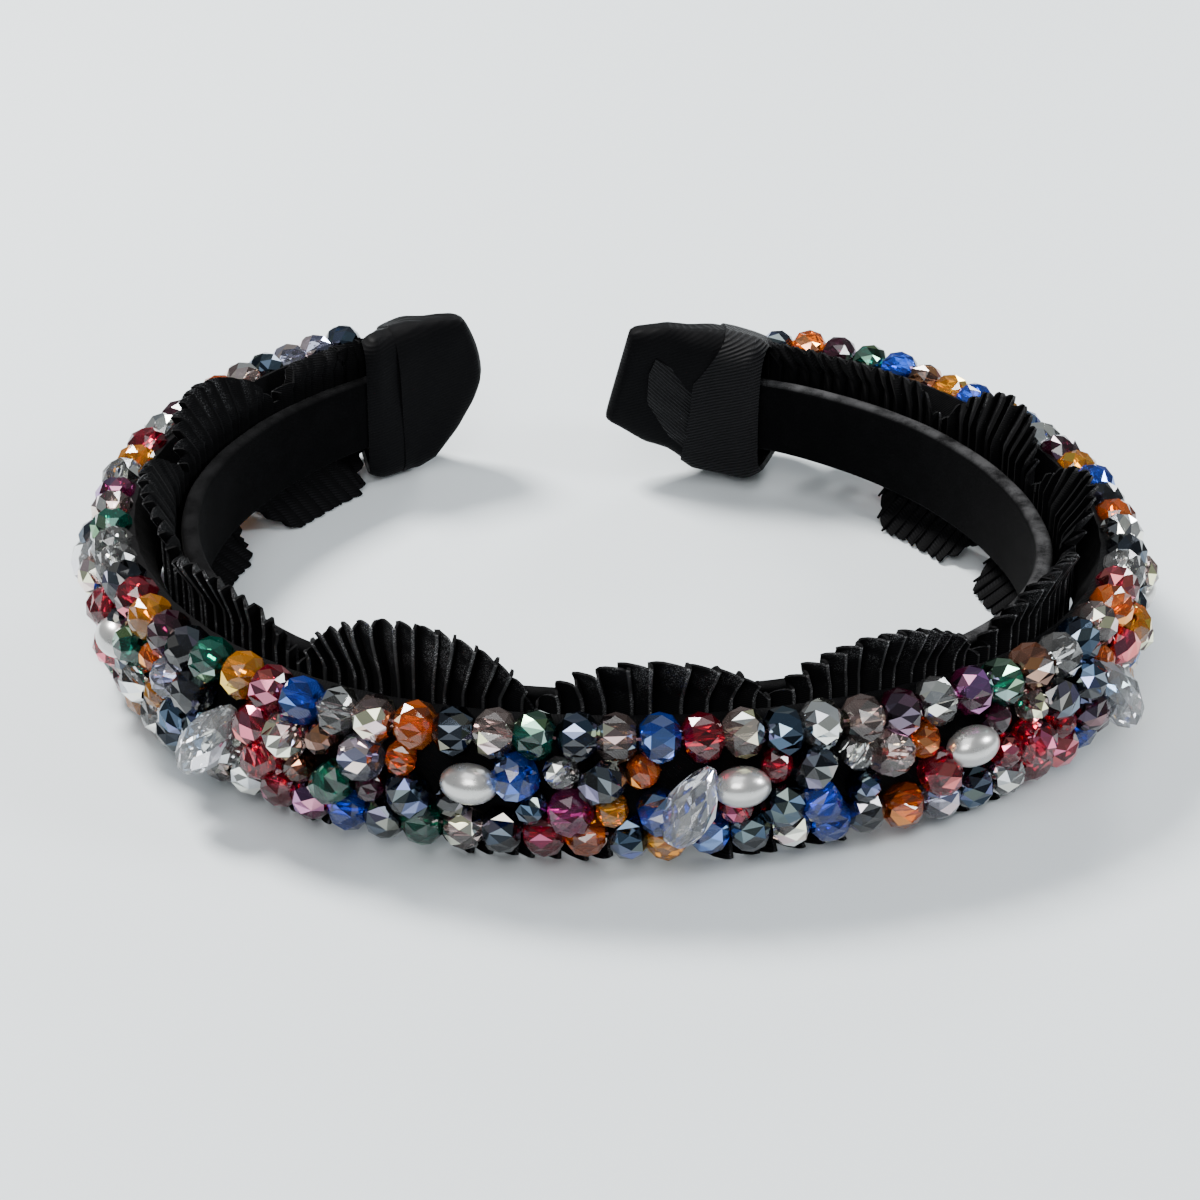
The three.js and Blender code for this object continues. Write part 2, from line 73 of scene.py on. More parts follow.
# The left sleeve ends a little sooner, and its mouth is cut back on the outer side
TIP_BACK = {"left": 2.6 * MM, "right": 0}
MOUTH_CUT = {"left": 8 * MM, "right": 1 * MM}

# Depths outwards from the inner face of the band
RIBBON_MIDDLE = 4.4 * MM
STRIP_BACK = 6.4 * MM
STRIP_FRONT = 12.4 * MM

# How much further the strip reaches into the left sleeve, the share of its half height that its flat
# back takes, how deep the beads' rows quilt it, and how far that presses it in
STRIP_LEFT_MORE = 3 * MM
STRIP_BACK_SHARE = 0.45
QUILT_DEPTH = 0.22 * MM
QUILT_PRESS = 0.2 * MM

# The velvet is painted lighter grey along the edges of the right half from here on, and hardly elsewhere:
# partly wear, partly painted sheen where the light falls on those edges
WORN_AND_LIT_FROM = 50 * MM
WORN_AND_LIT_ELSEWHERE = 0.08

# Where the upper edge of the ribbon dips between its scallops, the share of their full rise that each
# scallop has, and the power of their outline, which is fuller the lower it is
SCALLOP_WIDTH = 33.5 * MM
FIRST_DIP = -11.7 * MM
SCALLOP_SHARES = {"left": (1.14, 1.07, 1.01, 0.96), "right": (1, 1, 1, 0.87, 0.87)}
SCALLOP_RISES = (1, 1, 1, 1.28, 1, 1, 1, 1, 1)
SCALLOP_FULLNESS = 0.8
DIPS = np.concatenate([
    (FIRST_DIP - np.cumsum(SCALLOP_SHARES["left"]) * SCALLOP_WIDTH)[::-1],
    [FIRST_DIP],
    FIRST_DIP + np.cumsum(SCALLOP_SHARES["right"]) * SCALLOP_WIDTH,
])

# The last lower scallop on the left hangs a little nearer to the end than the dip above it. The shift
# grows from this far out, over this distance.
LAST_LOWER_SHIFT = 6 * MM
LAST_LOWER_SPAN = (115 * MM, 25 * MM)

# The scallop at the front left stands nearly upright: its middle, and its reach to each side
UPRIGHT_PLACE = -28 * MM
UPRIGHT_REACH = 14 * MM

# How far from the front centre the ribbon starts to take its rear form, and over what distance
REAR_SPAN = (55 * MM, 30 * MM)

# How far from the middle of the band, and over what height, the pleats open, the lower scallops flare,
# and the upper ones lean out and spread like a fan, and the shares by which both kinds spread
OPEN_SPAN = (6.5 * MM, 7 * MM)
FLARE_SPAN = (8.8 * MM, 4.3 * MM)
LEAN_SPAN = (8.8 * MM, 6 * MM)
FAN_SPAN = (8 * MM, 7 * MM)
UPPER_FAN = 0.22
LOWER_FAN = 0.12

# Section of the padded strip: share of its half height, and share of its thickness there
STRIP_SECTION = ((0, 1), (0.4, 1), (0.66, 0.95), (0.82, 0.84), (0.93, 0.7), (0.98, 0.58), (1, 0.46))

# One pleat of the ribbon: share of its pitch, and how far it swings out. Its fold laps over the next.
PLEAT = (
    (0, -1), (0.08, -0.92), (0.26, -0.56), (0.46, -0.16), (0.66, 0.24), (0.84, 0.62), (0.97, 0.93),
    (1.05, 1), (1.09, 0.84), (1.08, 0.4), (1.05, -0.15), (1.01, -0.7),
)
FOLD_PHASE = 0.58

# Width of the pleats as a share of their pitch: at the rear, and how much more near the front
REAR_PLEAT = 0.8
FRONT_PLEAT_MORE = 0.36
WIDEST_PLEAT_PLACE = 5 * MM
WIDE_PLEAT_REACH = 16 * MM

# Widths of the ribbons laid flat: wound round an end, and its folded corner
WOUND_WIDTH = 38 * MM
CORNER_WIDTH = 10 * MM

# Bead rows from the rear left to the rear right, one letter for each place, small letters for small
# beads and a dot where none lies
ROWS = {
    "top": "NLLNROGPCUACMRECCGUAPG" "EAUSCROGRENRSURNCRPCMEKCN" "ROUCGCOGSAPCSASAKSEPON",
    "upper": "RpNrC.uoRNcSaGkR.UgEoL" "G.URkLo..ScGo..uGcRo.prGN" "oUAngRnSklEaC.uPoNrGc",
    "lower": "SoGuS.rNcAkPnRo.sUgCaN" "NCUkEpNg.nMaS.uNSn.U.uUuP" "NcsRaGuSEkNoE.rCgSpaN",
    "bottom": "RGSRNAUGCMNOGSRNEUACGN" "RCUMSGERGUONASNRSGOLNCUUS" "PGAREUNSGCOMNRGSAUEN",
}

# Number of the letter at the front centre, counted from 0, and how far each row lies up from the
# middle, in rows, and to the right, in beads
FRONT_PLACE = 33
ROW_HEIGHTS = {"top": 1.45, "upper": 0.47, "lower": -0.52, "bottom": -1.52}
ROW_SHIFTS = {"top": 0, "upper": -0.32, "lower": -0.08, "bottom": 0.22}
STRUNG_ROWS = ("top", "bottom")

# How far strung beads and those sewn on one by one stray: along the band, in beads, and how far they
# turn up from it and off it, in radians
STRUNG_STRAY = (0.05, 0.12, 0.1)
SEWN_STRAY = (0.12, 1.2, 0.35)

# How far the middle of a sewn bead lies off the strip, and how far small ones in the upper row lie up
SEWN_RISE = 2.1 * MM
SMALL_RISE = 1.4 * MM
SMALL_UPPER_SHIFT = 0.5 * MM

# The right sleeve's mouth presses the last beads in
MOUTH_PRESS = 1.4 * MM

# Pearls: distance from the front centre in beads, and height in rows. Drops: the same, then how far
# their narrow end turns up from the band and off it, in degrees.
PEARLS = ((-26.5, -0.3), (-15.3, 0.2), (-3.5, 0.22), (2.9, 0.2), (8.8, 0.16), (18.9, -0.25), (28.7, 0.2))
DROPS = (
    (-29.8, -0.2, 60, -6),
    (-20.4, -0.25, 60, -10),
    (-10.4, -0.3, 64, -30),
    (1.7, -0.16, 60, -16),
    (13.7, -0.3, 106, -26),
    (24.2, -0.2, 60, -8),
)

# Share of its length by which a drop that is turned off the band moves out with the turn
DROP_STAND = 0.2

# Glass of each letter: its own colour, the colours of its mirror coat, the share that is coated, how
# much of that coat is metal, and how clear the glass is
GLASS = {
    "C": ("clear", (1.00, 1.00, 1.00), (0.88, 0.91, 0.97), 0.40, 0.95, 0.96),
    "R": ("rose", (1.00, 0.75, 0.70), (0.92, 0.67, 0.66), 0.36, 0.95, 0.96),
    "L": ("lilac", (0.74, 0.74, 0.96), (0.50, 0.50, 0.74), 0.36, 0.95, 0.95),
    "U": ("ruby", (0.86, 0.015, 0.07), (0.42, 0.13, 0.18), 0.22, 0.9, 0.94),
    "M": ("magenta", (0.62, 0.04, 0.28), (0.36, 0.18, 0.40), 0.34, 0.9, 0.94),
    "A": ("amber", (1.00, 0.35, 0.00), (0.86, 0.44, 0.10), 0.18, 0.9, 0.84),
    "O": ("orange", (1.00, 0.17, 0.00), (0.76, 0.27, 0.10), 0.18, 0.9, 0.84),
    "S": ("sapphire", (0.015, 0.10, 0.80), (0.16, 0.26, 0.62), 0.26, 0.9, 0.88),
    "E": ("emerald", (0.00, 0.30, 0.20), (0.14, 0.26, 0.18), 0.38, 0.9, 0.92),
    "P": ("plum", (0.12, 0.010, 0.045), (0.15, 0.11, 0.15), 0.50, 0.9, 0.90),
    "N": ("navy", (0.008, 0.022, 0.060), (0.085, 0.125, 0.185), 0.70, 0.95, 0.85),
    "G": ("graphite", (0.030, 0.034, 0.050), (0.13, 0.15, 0.185), 0.62, 0.95, 0.88),
    "K": ("copper", (0.40, 0.15, 0.08), (0.38, 0.22, 0.17), 0.48, 0.9, 0.92),
}

# Sides of the uncut bead and drop
BEAD_SIDES = 10
DROP_SIDES = 8

# Camera: degrees that it looks down, the point that it looks at from the front seat, distance and lens
CAMERA_TILT = 29
CAMERA_AIM = Vector((-2.3, 42.25, -3.1)) * MM
CAMERA_DISTANCE = 0.44
CAMERA_LENS = 91.7

# Lights of the studio: name, place, size, watts and tint, and the glow of the walls around
SOFTBOXES = (
    ("key softbox", (-0.34, 0.36, 0.62), 0.22, 15.0, (1.0, 0.99, 0.97)),
    ("top softbox", (-0.10, -0.30, 0.95), 0.55, 2.8, (0.98, 0.99, 1.0)),
    ("front softbox", (-0.10, -0.62, 0.52), 0.34, 3.6, (1.0, 1.0, 1.0)),
    ("right softbox", (0.55, -0.10, 0.36), 0.16, 3.0, (0.96, 0.98, 1.0)),
    ("back strip", (0.28, 0.62, 0.30), 0.20, 2.4, (0.95, 0.98, 1.0)),
)
WALL_TINT = (0.80, 0.86, 0.90, 1)
WALL_GLOW = 0.29


# Materials. Noise scales and waves are per metre, and bump heights are in metres.

class Wire:
    """A socket of a material. Arithmetic on it adds Math nodes."""

    def __init__(self, paint, socket):
        self.paint = paint
        self.socket = socket

    def __add__(self, other):
        return self.paint.math("ADD", self, other)

    def __sub__(self, other):
        return self.paint.math("SUBTRACT", self, other)

    def __rsub__(self, other):
        return self.paint.math("SUBTRACT", other, self)

    def __mul__(self, other):
        return self.paint.math("MULTIPLY", self, other)

    __radd__ = __add__
    __rmul__ = __mul__


class Paint:
    """A material with one Principled shader, and the nodes that feed it."""

    def __init__(self, name, **constants):
        self.material = bpy.data.materials.new(name)
        self.material.use_nodes = True
        self.tree = self.material.node_tree
        self.shader = self.tree.nodes["Principled BSDF"]
        for socket, value in constants.items():
            self.shader.inputs[socket.replace("_", " ")].default_value = value

    def add(self, kind, settings=None, inputs=None, output=0):
        node = self.tree.nodes.new("ShaderNode" + kind)
        node.location = (-220 * len(self.tree.nodes), 0)
        for key, value in (settings or {}).items():
            if key == "stops":
                ramp = node.color_ramp
                while len(ramp.elements) < len(value):
                    ramp.elements.new(0.5)
                for element, (place, colour) in zip(ramp.elements, value):
                    element.position = place
                    element.color = (*colour, 1)
            else:
                setattr(node, key, value)
        for key, value in (inputs or {}).items():
            self.feed(node.inputs[key], value)
        return Wire(self, node.outputs[output])

    def feed(self, socket, value):
        if isinstance(value, Wire):
            self.tree.links.new(value.socket, socket)
        elif socket.type == "RGBA" and len(value) == 3:
            socket.default_value = (*value, 1)
        else:
            socket.default_value = value

    def math(self, operation, *values):
        return self.add("Math", {"operation": operation}, dict(enumerate(values)))

    def wave(self, value, rate):
        return self.math("SINE", value * rate)

    def smooth(self, value, low, high):
        settings = {"interpolation_type": "SMOOTHSTEP"}
        return self.add("MapRange", settings, {"Value": value, "From Min": low, "From Max": high})

    def mix(self, factor, first, second):
        settings = {"data_type": "RGBA"}
        return self.add("Mix", settings, {0: factor, 6: first, 7: second}, output=2)

    def position(self):
        return self.add("TexCoord", output="Object")

    def attribute(self, name, output="Fac"):
        return self.add("Attribute", {"attribute_name": name}, output=output)

    def parts(self, vector):
        node = self.add("SeparateXYZ", inputs={0: vector}).socket.node
        return [Wire(self, output) for output in node.outputs]

    def noise(self, vector, scale, detail, roughness):
        inputs = {"Vector": vector, "Scale": scale, "Detail": detail, "Roughness": roughness}
        return self.add("TexNoise", inputs=inputs)

    def bump(self, height, distance, strength, under=None):
        inputs = {"Height": height, "Distance": distance, "Strength": strength}
        if under:
            inputs["Normal"] = under
        return self.add("Bump", inputs=inputs, output="Normal")

    def finish(self, **wires):
        for socket, wire in wires.items():
            self.feed(self.shader.inputs[socket.replace("_", " ")], wire)
        return self.material


def shade(colour, *gains):
    """A colour made lighter or darker, with one gain for all its channels or one for each."""
    each = gains if len(gains) == 3 else gains * 3
    return [min(1, channel * gain) for channel, gain in zip(colour, each)]


def velvet_paint(colours):
    """Matt velvet, painted lighter grey along its edges: partly wear, and partly painted sheen where the
    light falls.
    """
    paint = Paint("black velvet", Sheen_Weight=0.012, Sheen_Roughness=0.3, Specular_IOR_Level=0.02)
    place = paint.position()
    pile = paint.noise(place, 5200, 4, 0.65)
    nap = paint.noise(place, 240, 3, 0.6)
    edge = paint.attribute("wear")
    worn_and_lit = edge * paint.smooth(nap + pile * 0.5, 0.5, 0.95)
    colour = paint.mix(paint.smooth(nap, 0.35, 0.75), colours.velvet, shade(colours.velvet, 1.4))
    # Painted grey along the edges: partly wear, partly painted sheen where the light falls
    colour = paint.mix(worn_and_lit, colour, (0.05, 0.05, 0.052))
    rough = 0.96 - worn_and_lit * 0.2
    fine = paint.bump(pile, 0.00012, 0.8)
    return paint.finish(
        Base_Color=colour, Roughness=rough, Normal=paint.bump(nap, 0.0003, 0.2, fine))


def pleat_paint(colours):
    """Pleated velvet ribbon: a sparkling line of painted highlight runs along each fold, the ridges carry
    painted sheen and glints near the top, and elsewhere the pile is matt.
    """
    paint = Paint("black pleated ribbon", Sheen_Weight=0.008, Sheen_Roughness=0.3, Specular_IOR_Level=0.04)
    pleats, height, _ = paint.parts(paint.attribute("cloth", "Vector"))
    phase = paint.math("FRACT", pleats)
    fold = 1 - paint.smooth(paint.math("ABSOLUTE", phase - FOLD_PHASE), 0.035, 0.085)
    place = paint.position()
    grain = paint.noise(place, 6500, 2, 0.6)
    patches = paint.noise(place, 300, 2, 0.5)
    glints = paint.smooth(grain, 0.52, 0.66) * paint.smooth(patches, 0.38, 0.6)
    # Painted highlight: a light, sparkling line along each fold, brighter higher up
    thread = fold * (glints * 0.9 + 0.1) * (paint.smooth(height, 0.004, 0.014) * 0.4 + 0.6)
    weft = paint.wave(height, 21000)
    # Painted sheen: the rounded ridge of each pleat is painted lighter in weft stripes, with painted glints
    # near its top
    lit_ridge = paint.smooth(phase, 0.1, 0.35) * (1 - paint.smooth(phase, 0.48, 0.54))
    crown_glints = lit_ridge * glints * paint.smooth(height, 0.007, 0.014)
    thread = paint.math("MAXIMUM", thread, crown_glints * 0.4)
    colour = paint.mix(patches, colours.satin, shade(colours.satin, 1.8))
    colour = paint.mix(lit_ridge * paint.smooth(weft, -0.3, 0.9), colour, shade(colours.satin, 5))
    # The fold highlights and ridge glints are painted in this light grey
    colour = paint.mix(thread, colour, (0.30, 0.305, 0.315))
    rough = 0.72 - thread * 0.4
    bump = paint.bump(grain * 0.7 + weft * 0.18, 0.00010, 0.8)
    return paint.finish(Base_Color=colour, Roughness=rough, Normal=paint.bump(fold, 0.00012, 0.6, bump))


def satin_paint(colours):
    """Black cloth over padding, with the fine slanted lines of a satin weave."""
    paint = Paint("black strip cloth", Sheen_Weight=0.006, Sheen_Roughness=0.3, Specular_IOR_Level=0.03)
    place = paint.position()
    grain = paint.noise(place, 5000, 2, 0.6)
    along, _, height = paint.parts(paint.attribute("cloth", "Vector"))
    twill = paint.wave(along + height, 14000)
    rumple = paint.noise(place, 260, 3, 0.55)
    colour = paint.mix(grain, colours.satin, shade(colours.satin, 2.2))
    bump = paint.bump(rumple, 0.0006, 0.5, paint.bump(twill * 0.3 + grain, 0.00008, 0.8))
    return paint.finish(Base_Color=colour, Roughness=0.62 + grain * 0.2, Normal=bump)


def grosgrain_paint(colours, name, slant, relief_and_sheen):
    """Ribbed ribbon: raised weft ribs run at a slant, with fine threads across them. The crests of the ribs
    are painted lighter, a painted sheen that grows with the relief.
    """
    paint = Paint(
        name, Sheen_Weight=0.01, Sheen_Roughness=0.3, Specular_IOR_Level=0.03 + 0.07 * relief_and_sheen)
    along, _, height = paint.parts(paint.attribute("cloth", "Vector"))
    place = paint.position()
    wander = paint.noise(place, 160, 2, 0.5)
    across = along * math.sin(slant) + height * math.cos(slant) + wander * 0.00015
    rib = paint.wave(across, 2 * math.pi / (0.49 * MM))
    thread = paint.wave(along * math.cos(slant) - height * math.sin(slant), 26000)
    grain = paint.noise(place, 7000, 2, 0.6)
    crest = paint.smooth(rib, -0.2, 0.95)
    # Painted sheen: the crests of the ribs are painted lighter, the more so the greater the relief
    colour = paint.mix(crest, colours.ribbon, shade(colours.ribbon, 1 + 2.6 * relief_and_sheen))
    bump = paint.bump(rib + thread * 0.18 + grain * 0.4, 0.00011, 0.1 + 0.8 * relief_and_sheen)
    soft = paint.bump(wander, 0.0009, 0.4, bump)
    return paint.finish(Base_Color=colour, Roughness=0.66 - crest * 0.14, Normal=soft)


def glass_paint(letter):
    """Cut glass. One side of each bead has a mirror coat, whose tint changes from facet to facet. The glass
    itself is painted from dark to light from facet to facet by chance, painted shade and highlight for the
    light each cut face catches.
    """
    name, tint, coat, share, metal, clear = GLASS[letter]
    paint = Paint(name + " glass", IOR=1.6, Transmission_Weight=clear, Specular_IOR_Level=0.7)
    side = paint.attribute("side")
    facet = paint.attribute("facet")
    coated = paint.smooth(side * 0.75 + facet * 0.5, 1.12 - share, 1.16 - share)
    # Painted shade and highlight: each facet's glass is painted from dark to light by chance
    body = paint.add("ValToRGB", {"stops": (
        (0.0, shade(tint, 0.30)),
        (0.3, shade(tint, 0.75)),
        (0.75, tint),
        (1.0, [min(1, c * 1.3 + 0.06) for c in tint]),
    )}, {"Fac": facet})
    rainbow = paint.add("ValToRGB", {"stops": (
        (0.0, shade(coat, 0.12)),
        (0.35, shade(coat, 0.55)),
        (0.6, shade(coat, 1.1, 1.2, 1.25)),
        (0.8, shade(coat, 1.8, 1.5, 0.9)),
        (1.0, shade(coat, 2.0, 1.6, 2.2)),
    )}, {"Fac": facet})
    smear = paint.noise(paint.position(), 900, 2, 0.5)
    return paint.finish(
        Base_Color=paint.mix(coated, body, rainbow),
        Metallic=coated * metal,
        Roughness=smear * 0.04 + coated * 0.03)


def drop_paint():
    """Clear cut glass, with a faint lilac in some facets and others painted darker grey, a painted shade of
    the cut faces.
    """
    paint = Paint("drop glass", IOR=1.6, Transmission_Weight=0.9, Specular_IOR_Level=0.8)
    facet = paint.attribute("facet")
    smear = paint.noise(paint.position(), 700, 2, 0.5)
    # Painted shade: some facets are painted darker grey
    tint = paint.add("ValToRGB", {"stops": (
        (0.0, (0.42, 0.44, 0.48)), (0.3, (0.92, 0.94, 0.96)),
        (0.8, (1.0, 1.0, 1.0)), (1.0, (0.96, 0.93, 1.0)),
    )}, {"Fac": facet})
    bright = paint.smooth(facet, 0.78, 0.82)
    return paint.finish(Base_Color=tint, Metallic=bright * 0.8, Roughness=smear * 0.03)


def pearl_paint(colours):
    """Silver white pearl, faintly cloudy under its coat."""
    paint = Paint("pearl coat", Coat_Weight=0.6, Coat_Roughness=0.08, Specular_IOR_Level=0.6)
    place = paint.position()
    cloud = paint.noise(place, 420, 3, 0.55)
    colour = paint.mix(cloud, colours.pearl, shade(colours.pearl, 1.12))
    return paint.finish(
        Base_Color=colour, Metallic=0.72 + cloud * 0.1, Roughness=0.24 + cloud * 0.08,
        Normal=paint.bump(cloud, 0.00015, 0.25))


def thread_paint():
    """Twisted thread, dull red."""
    paint = Paint("bead thread", Sheen_Weight=0.2)
    twist = paint.wave(paint.parts(paint.attribute("cloth", "Vector"))[0], 12000)
    fuzz = paint.noise(paint.position(), 3000, 2, 0.5)
    colour = paint.mix(fuzz, (0.16, 0.06, 0.08), (0.36, 0.20, 0.22))
    return paint.finish(Base_Color=colour, Roughness=0.7 + fuzz * 0.1, Normal=paint.bump(twist, 0.00005, 0.7))


# Working on meshes

def start():
    """Leaves edit mode and selects nothing."""
    if bpy.context.object and bpy.context.object.mode != "OBJECT":
        bpy.ops.object.mode_set(mode="OBJECT")
    bpy.ops.object.select_all(action="DESELECT")


def apply(piece, modifier):
    bpy.context.view_layer.objects.active = piece
    bpy.ops.object.modifier_apply(modifier=modifier.name)


def choose(piece, kind, test):
    """Selects the vertices or edges whose corners pass a test. The piece is in edit mode."""
    bpy.ops.mesh.select_mode(type=kind)
    bpy.ops.mesh.select_all(action="DESELECT")
    mesh = bmesh.from_edit_mesh(piece.data)
    for item in {"VERT": mesh.verts, "EDGE": mesh.edges}[kind]:
        corners = [item.co] if kind == "VERT" else [vertex.co for vertex in item.verts]
        if test(corners):
            item.select_set(True)
    mesh.select_flush_mode()
    bmesh.update_edit_mesh(piece.data)


def places(piece):
    found = np.empty(len(piece.data.vertices) * 3)
    piece.data.vertices.foreach_get("co", found)
    return found.reshape(-1, 3)


def move_to(piece, points):
    piece.data.vertices.foreach_set("co", np.ascontiguousarray(points, float).ravel())
    piece.data.update()


def keep(piece, name, values):
    """Stores a number or a vector for each vertex, for the materials to read."""
    values = np.asarray(values, float)
    kind, key = ("FLOAT", "value") if values.ndim == 1 else ("FLOAT_VECTOR", "vector")
    piece.data.attributes.new(name, kind, "POINT").data.foreach_set(key, values.ravel())


def ramp(value, start, span):
    """Rises evenly from 0 at the start to 1 at the end of a span."""
    return np.clip((value - start) / span, 0, 1)


def ease(value, start, span):
    """Rises as a ramp does, but softly at both ends."""
    share = ramp(value, start, span)
    return share * share * (3 - 2 * share)


def lay(points):
    """Lays points round the head: distance along the band, depth outwards, height above its middle."""
    along, depth, height = np.asarray(points, float).T
    placed = np.empty((len(along), 3))
    for side, arcs in ((-1, LEFT_ARCS), (1, RIGHT_ARCS)):
        mine = (along < 0) if side < 0 else (along >= 0)
        left = np.abs(along[mine])
        heading = np.zeros_like(left)
        x = np.zeros_like(left)
        y = np.zeros_like(left)
        for index, (radius, turn) in enumerate(arcs):
            share = left / (radius + BEAD_LINE)
            step = share if index == len(arcs) - 1 else np.minimum(share, math.radians(turn))
            x += radius * (np.sin(heading + step) - np.sin(heading))
            y += radius * (np.cos(heading) - np.cos(heading + step))
            heading += step
            left = left - step * (radius + BEAD_LINE)
        x += depth[mine] * np.sin(heading)
        y -= depth[mine] * np.cos(heading)
        placed[mine] = np.stack([side * x, y, height[mine]], 1)
    return placed + np.array(FRONT_SEAT)


def bend_round(piece):
    """Bends a straight piece round the head, and keeps its straight coordinates for its weave."""
    straight = places(piece)
    if "cloth" not in piece.data.attributes:
        keep(piece, "cloth", straight)
    move_to(piece, lay(straight))


def axes(along):
    """Directions at a place on the band: forward along it, outwards, and up."""
    near, far = lay([(along - 0.1 * MM, 0, 0), (along + 0.1 * MM, 0, 0)])
    forward = Vector(far - near).normalized()
    return forward, Vector((forward.y, -forward.x, 0)), Vector((0, 0, 1))


def sweep(name, outline, first, last, step, closed=True):
    """Draws an outline of depths and heights, pulls it along the band in slices, and caps it if closed."""
    start()
    count = max(1, round((last - first) / step))
    length = (last - first) / count
    bpy.ops.mesh.primitive_circle_add(vertices=len(outline), radius=MM)
    piece = bpy.context.object
    piece.name = name
    move_to(piece, [(first, depth, height) for depth, height in outline])
    bpy.ops.object.mode_set(mode="EDIT")
    bpy.ops.mesh.select_all(action="SELECT")
    bpy.ops.mesh.extrude_region_move(TRANSFORM_OT_translate={"value": (length, 0, 0)})
    bpy.ops.object.mode_set(mode="OBJECT")
    slices = piece.modifiers.new("Slices", "ARRAY")
    slices.count = count
    slices.use_relative_offset = False
    slices.use_constant_offset = True
    slices.constant_offset_displace = (length, 0, 0)
    slices.use_merge_vertices = True
    slices.merge_threshold = length * 0.01
    apply(piece, slices)
    bpy.ops.object.mode_set(mode="EDIT")
    bpy.ops.mesh.select_all(action="SELECT")
    if closed:
        bpy.ops.mesh.fill_holes(sides=len(outline))
        bpy.ops.mesh.select_all(action="SELECT")
    bpy.ops.mesh.normals_make_consistent(inside=False)
    bpy.ops.object.mode_set(mode="OBJECT")
    return piece


def rounded_box(depths, heights, bevel, turns=3):
    """Outline of a slab with rounded long edges."""
    outline = []
    corners = ((depths[0], heights[1], 90), (depths[0], heights[0], 180),
               (depths[1], heights[0], 270), (depths[1], heights[1], 0))
    for depth, height, angle in corners:
        centre = (depth + bevel * (1 if depth == depths[0] else -1),
                  height + bevel * (1 if height == heights[0] else -1))
        for turn in range(turns + 1):
            direction = math.radians(angle + 90 * turn / turns)
            outline.append((centre[0] + bevel * math.cos(direction), centre[1] + bevel * math.sin(direction)))
    return outline


def dress(piece, material, slot, *nodes, smooth=None):
    """Gives a finished piece its material and shading, and ties it to the frame."""
    piece.data.materials.clear()
    piece.data.materials.append(material)
    start()
    piece.select_set(True)
    bpy.context.view_layer.objects.active = piece
    if smooth is None:
        bpy.ops.object.shade_flat()
    else:
        bpy.ops.object.shade_smooth_by_angle(angle=math.radians(smooth))
    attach(piece, "root")
    if nodes:
        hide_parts(*nodes)


# Stones

def cut_bead(diameter, length):
    """One glass rondelle on the X axis: kite facets above and below a girdle, and a drilled hole."""
    start()
    radius = diameter / 2
    bpy.ops.mesh.primitive_uv_sphere_add(segments=BEAD_SIDES, ring_count=6, radius=radius)
    bead = bpy.context.object
    bpy.ops.object.mode_set(mode="EDIT")
    pole = radius * 0.97
    choose(bead, "VERT", lambda at: abs(at[0].z) > pole)
    bpy.ops.mesh.delete(type="VERT")
    for low, high in ((0.4, 0.6), (-0.6, -0.4)):
        choose(bead, "VERT", lambda at: low < at[0].z / radius < high)
        bpy.ops.transform.rotate(
            value=math.pi / BEAD_SIDES, orient_axis="Z", center_override=(0, 0, 0))
        bpy.ops.transform.resize(value=(1.02, 1.02, 1.02), center_override=(0, 0, 0))
    bpy.ops.mesh.select_all(action="SELECT")
    bpy.ops.mesh.quads_convert_to_tris(quad_method="SHORTEST_DIAGONAL")
    level = radius * 0.02
    rim = radius * 0.8
    choose(bead, "EDGE", lambda at: abs(at[0].z - at[1].z) < level and abs(at[0].z) < rim)
    bpy.ops.mesh.dissolve_edges(use_verts=False)
    for sign in (-1, 1):
        choose(bead, "EDGE", lambda at: min(at[0].z * sign, at[1].z * sign) > rim)
        bpy.ops.mesh.extrude_region_move()
        bpy.ops.transform.resize(value=(0.4, 0.4, 1), center_override=(0, 0, sign * rim))
    near = radius * 0.26
    choose(bead, "EDGE", lambda at: max(at[0].xy.length, at[1].xy.length) < near)
    bpy.ops.mesh.bridge_edge_loops()
    bpy.ops.mesh.select_all(action="SELECT")
    bpy.ops.mesh.normals_make_consistent(inside=False)
    bpy.ops.transform.resize(value=(1, 1, length / diameter), center_override=(0, 0, 0))
    bpy.ops.transform.rotate(value=math.pi / 2, orient_axis="Y", center_override=(0, 0, 0))
    bpy.ops.object.mode_set(mode="OBJECT")
    return bead


def cut_drop(length, diameter):
    """One glass drop on the X axis, narrow at +X: rows of kite facets, and a small flat on each end."""
    start()
    bpy.ops.mesh.primitive_uv_sphere_add(segments=DROP_SIDES, ring_count=8, radius=1)
    drop = bpy.context.object
    bpy.ops.object.mode_set(mode="EDIT")
    mesh = bmesh.from_edit_mesh(drop.data)
    levels = sorted({round(vertex.co.z, 3) for vertex in mesh.verts})
    for number, level in enumerate(levels):
        if number % 2:
            choose(drop, "VERT", lambda at: abs(at[0].z - level) < 0.01)
            bpy.ops.transform.rotate(
                value=math.pi / DROP_SIDES, orient_axis="Z", center_override=(0, 0, 0))
    for level in (levels[0], levels[-1]):
        choose(drop, "VERT", lambda at: abs(at[0].z - level) < 0.01)
        bpy.ops.mesh.delete(type="VERT")
    bpy.ops.mesh.select_all(action="SELECT")
    bpy.ops.mesh.fill_holes(sides=DROP_SIDES)
    bpy.ops.mesh.select_all(action="SELECT")
    bpy.ops.mesh.quads_convert_to_tris(quad_method="SHORTEST_DIAGONAL", ngon_method="CLIP")
    choose(drop, "EDGE", lambda at: abs(at[0].z - at[1].z) < 0.01)
    bpy.ops.mesh.dissolve_edges(use_verts=False)
    bpy.ops.mesh.select_all(action="SELECT")
    bpy.ops.mesh.normals_make_consistent(inside=False)
    bpy.ops.object.mode_set(mode="OBJECT")
    points = places(drop)
    share = points[:, 2] / abs(points[:, 2]).max()
    narrow = 1 - 0.45 * ramp(share, -0.2, 1.2) ** 1.8
    flat = points[:, :2] * (narrow * diameter / 2)[:, None]
    move_to(drop, np.column_stack([share * length / 2, flat]))
    return drop


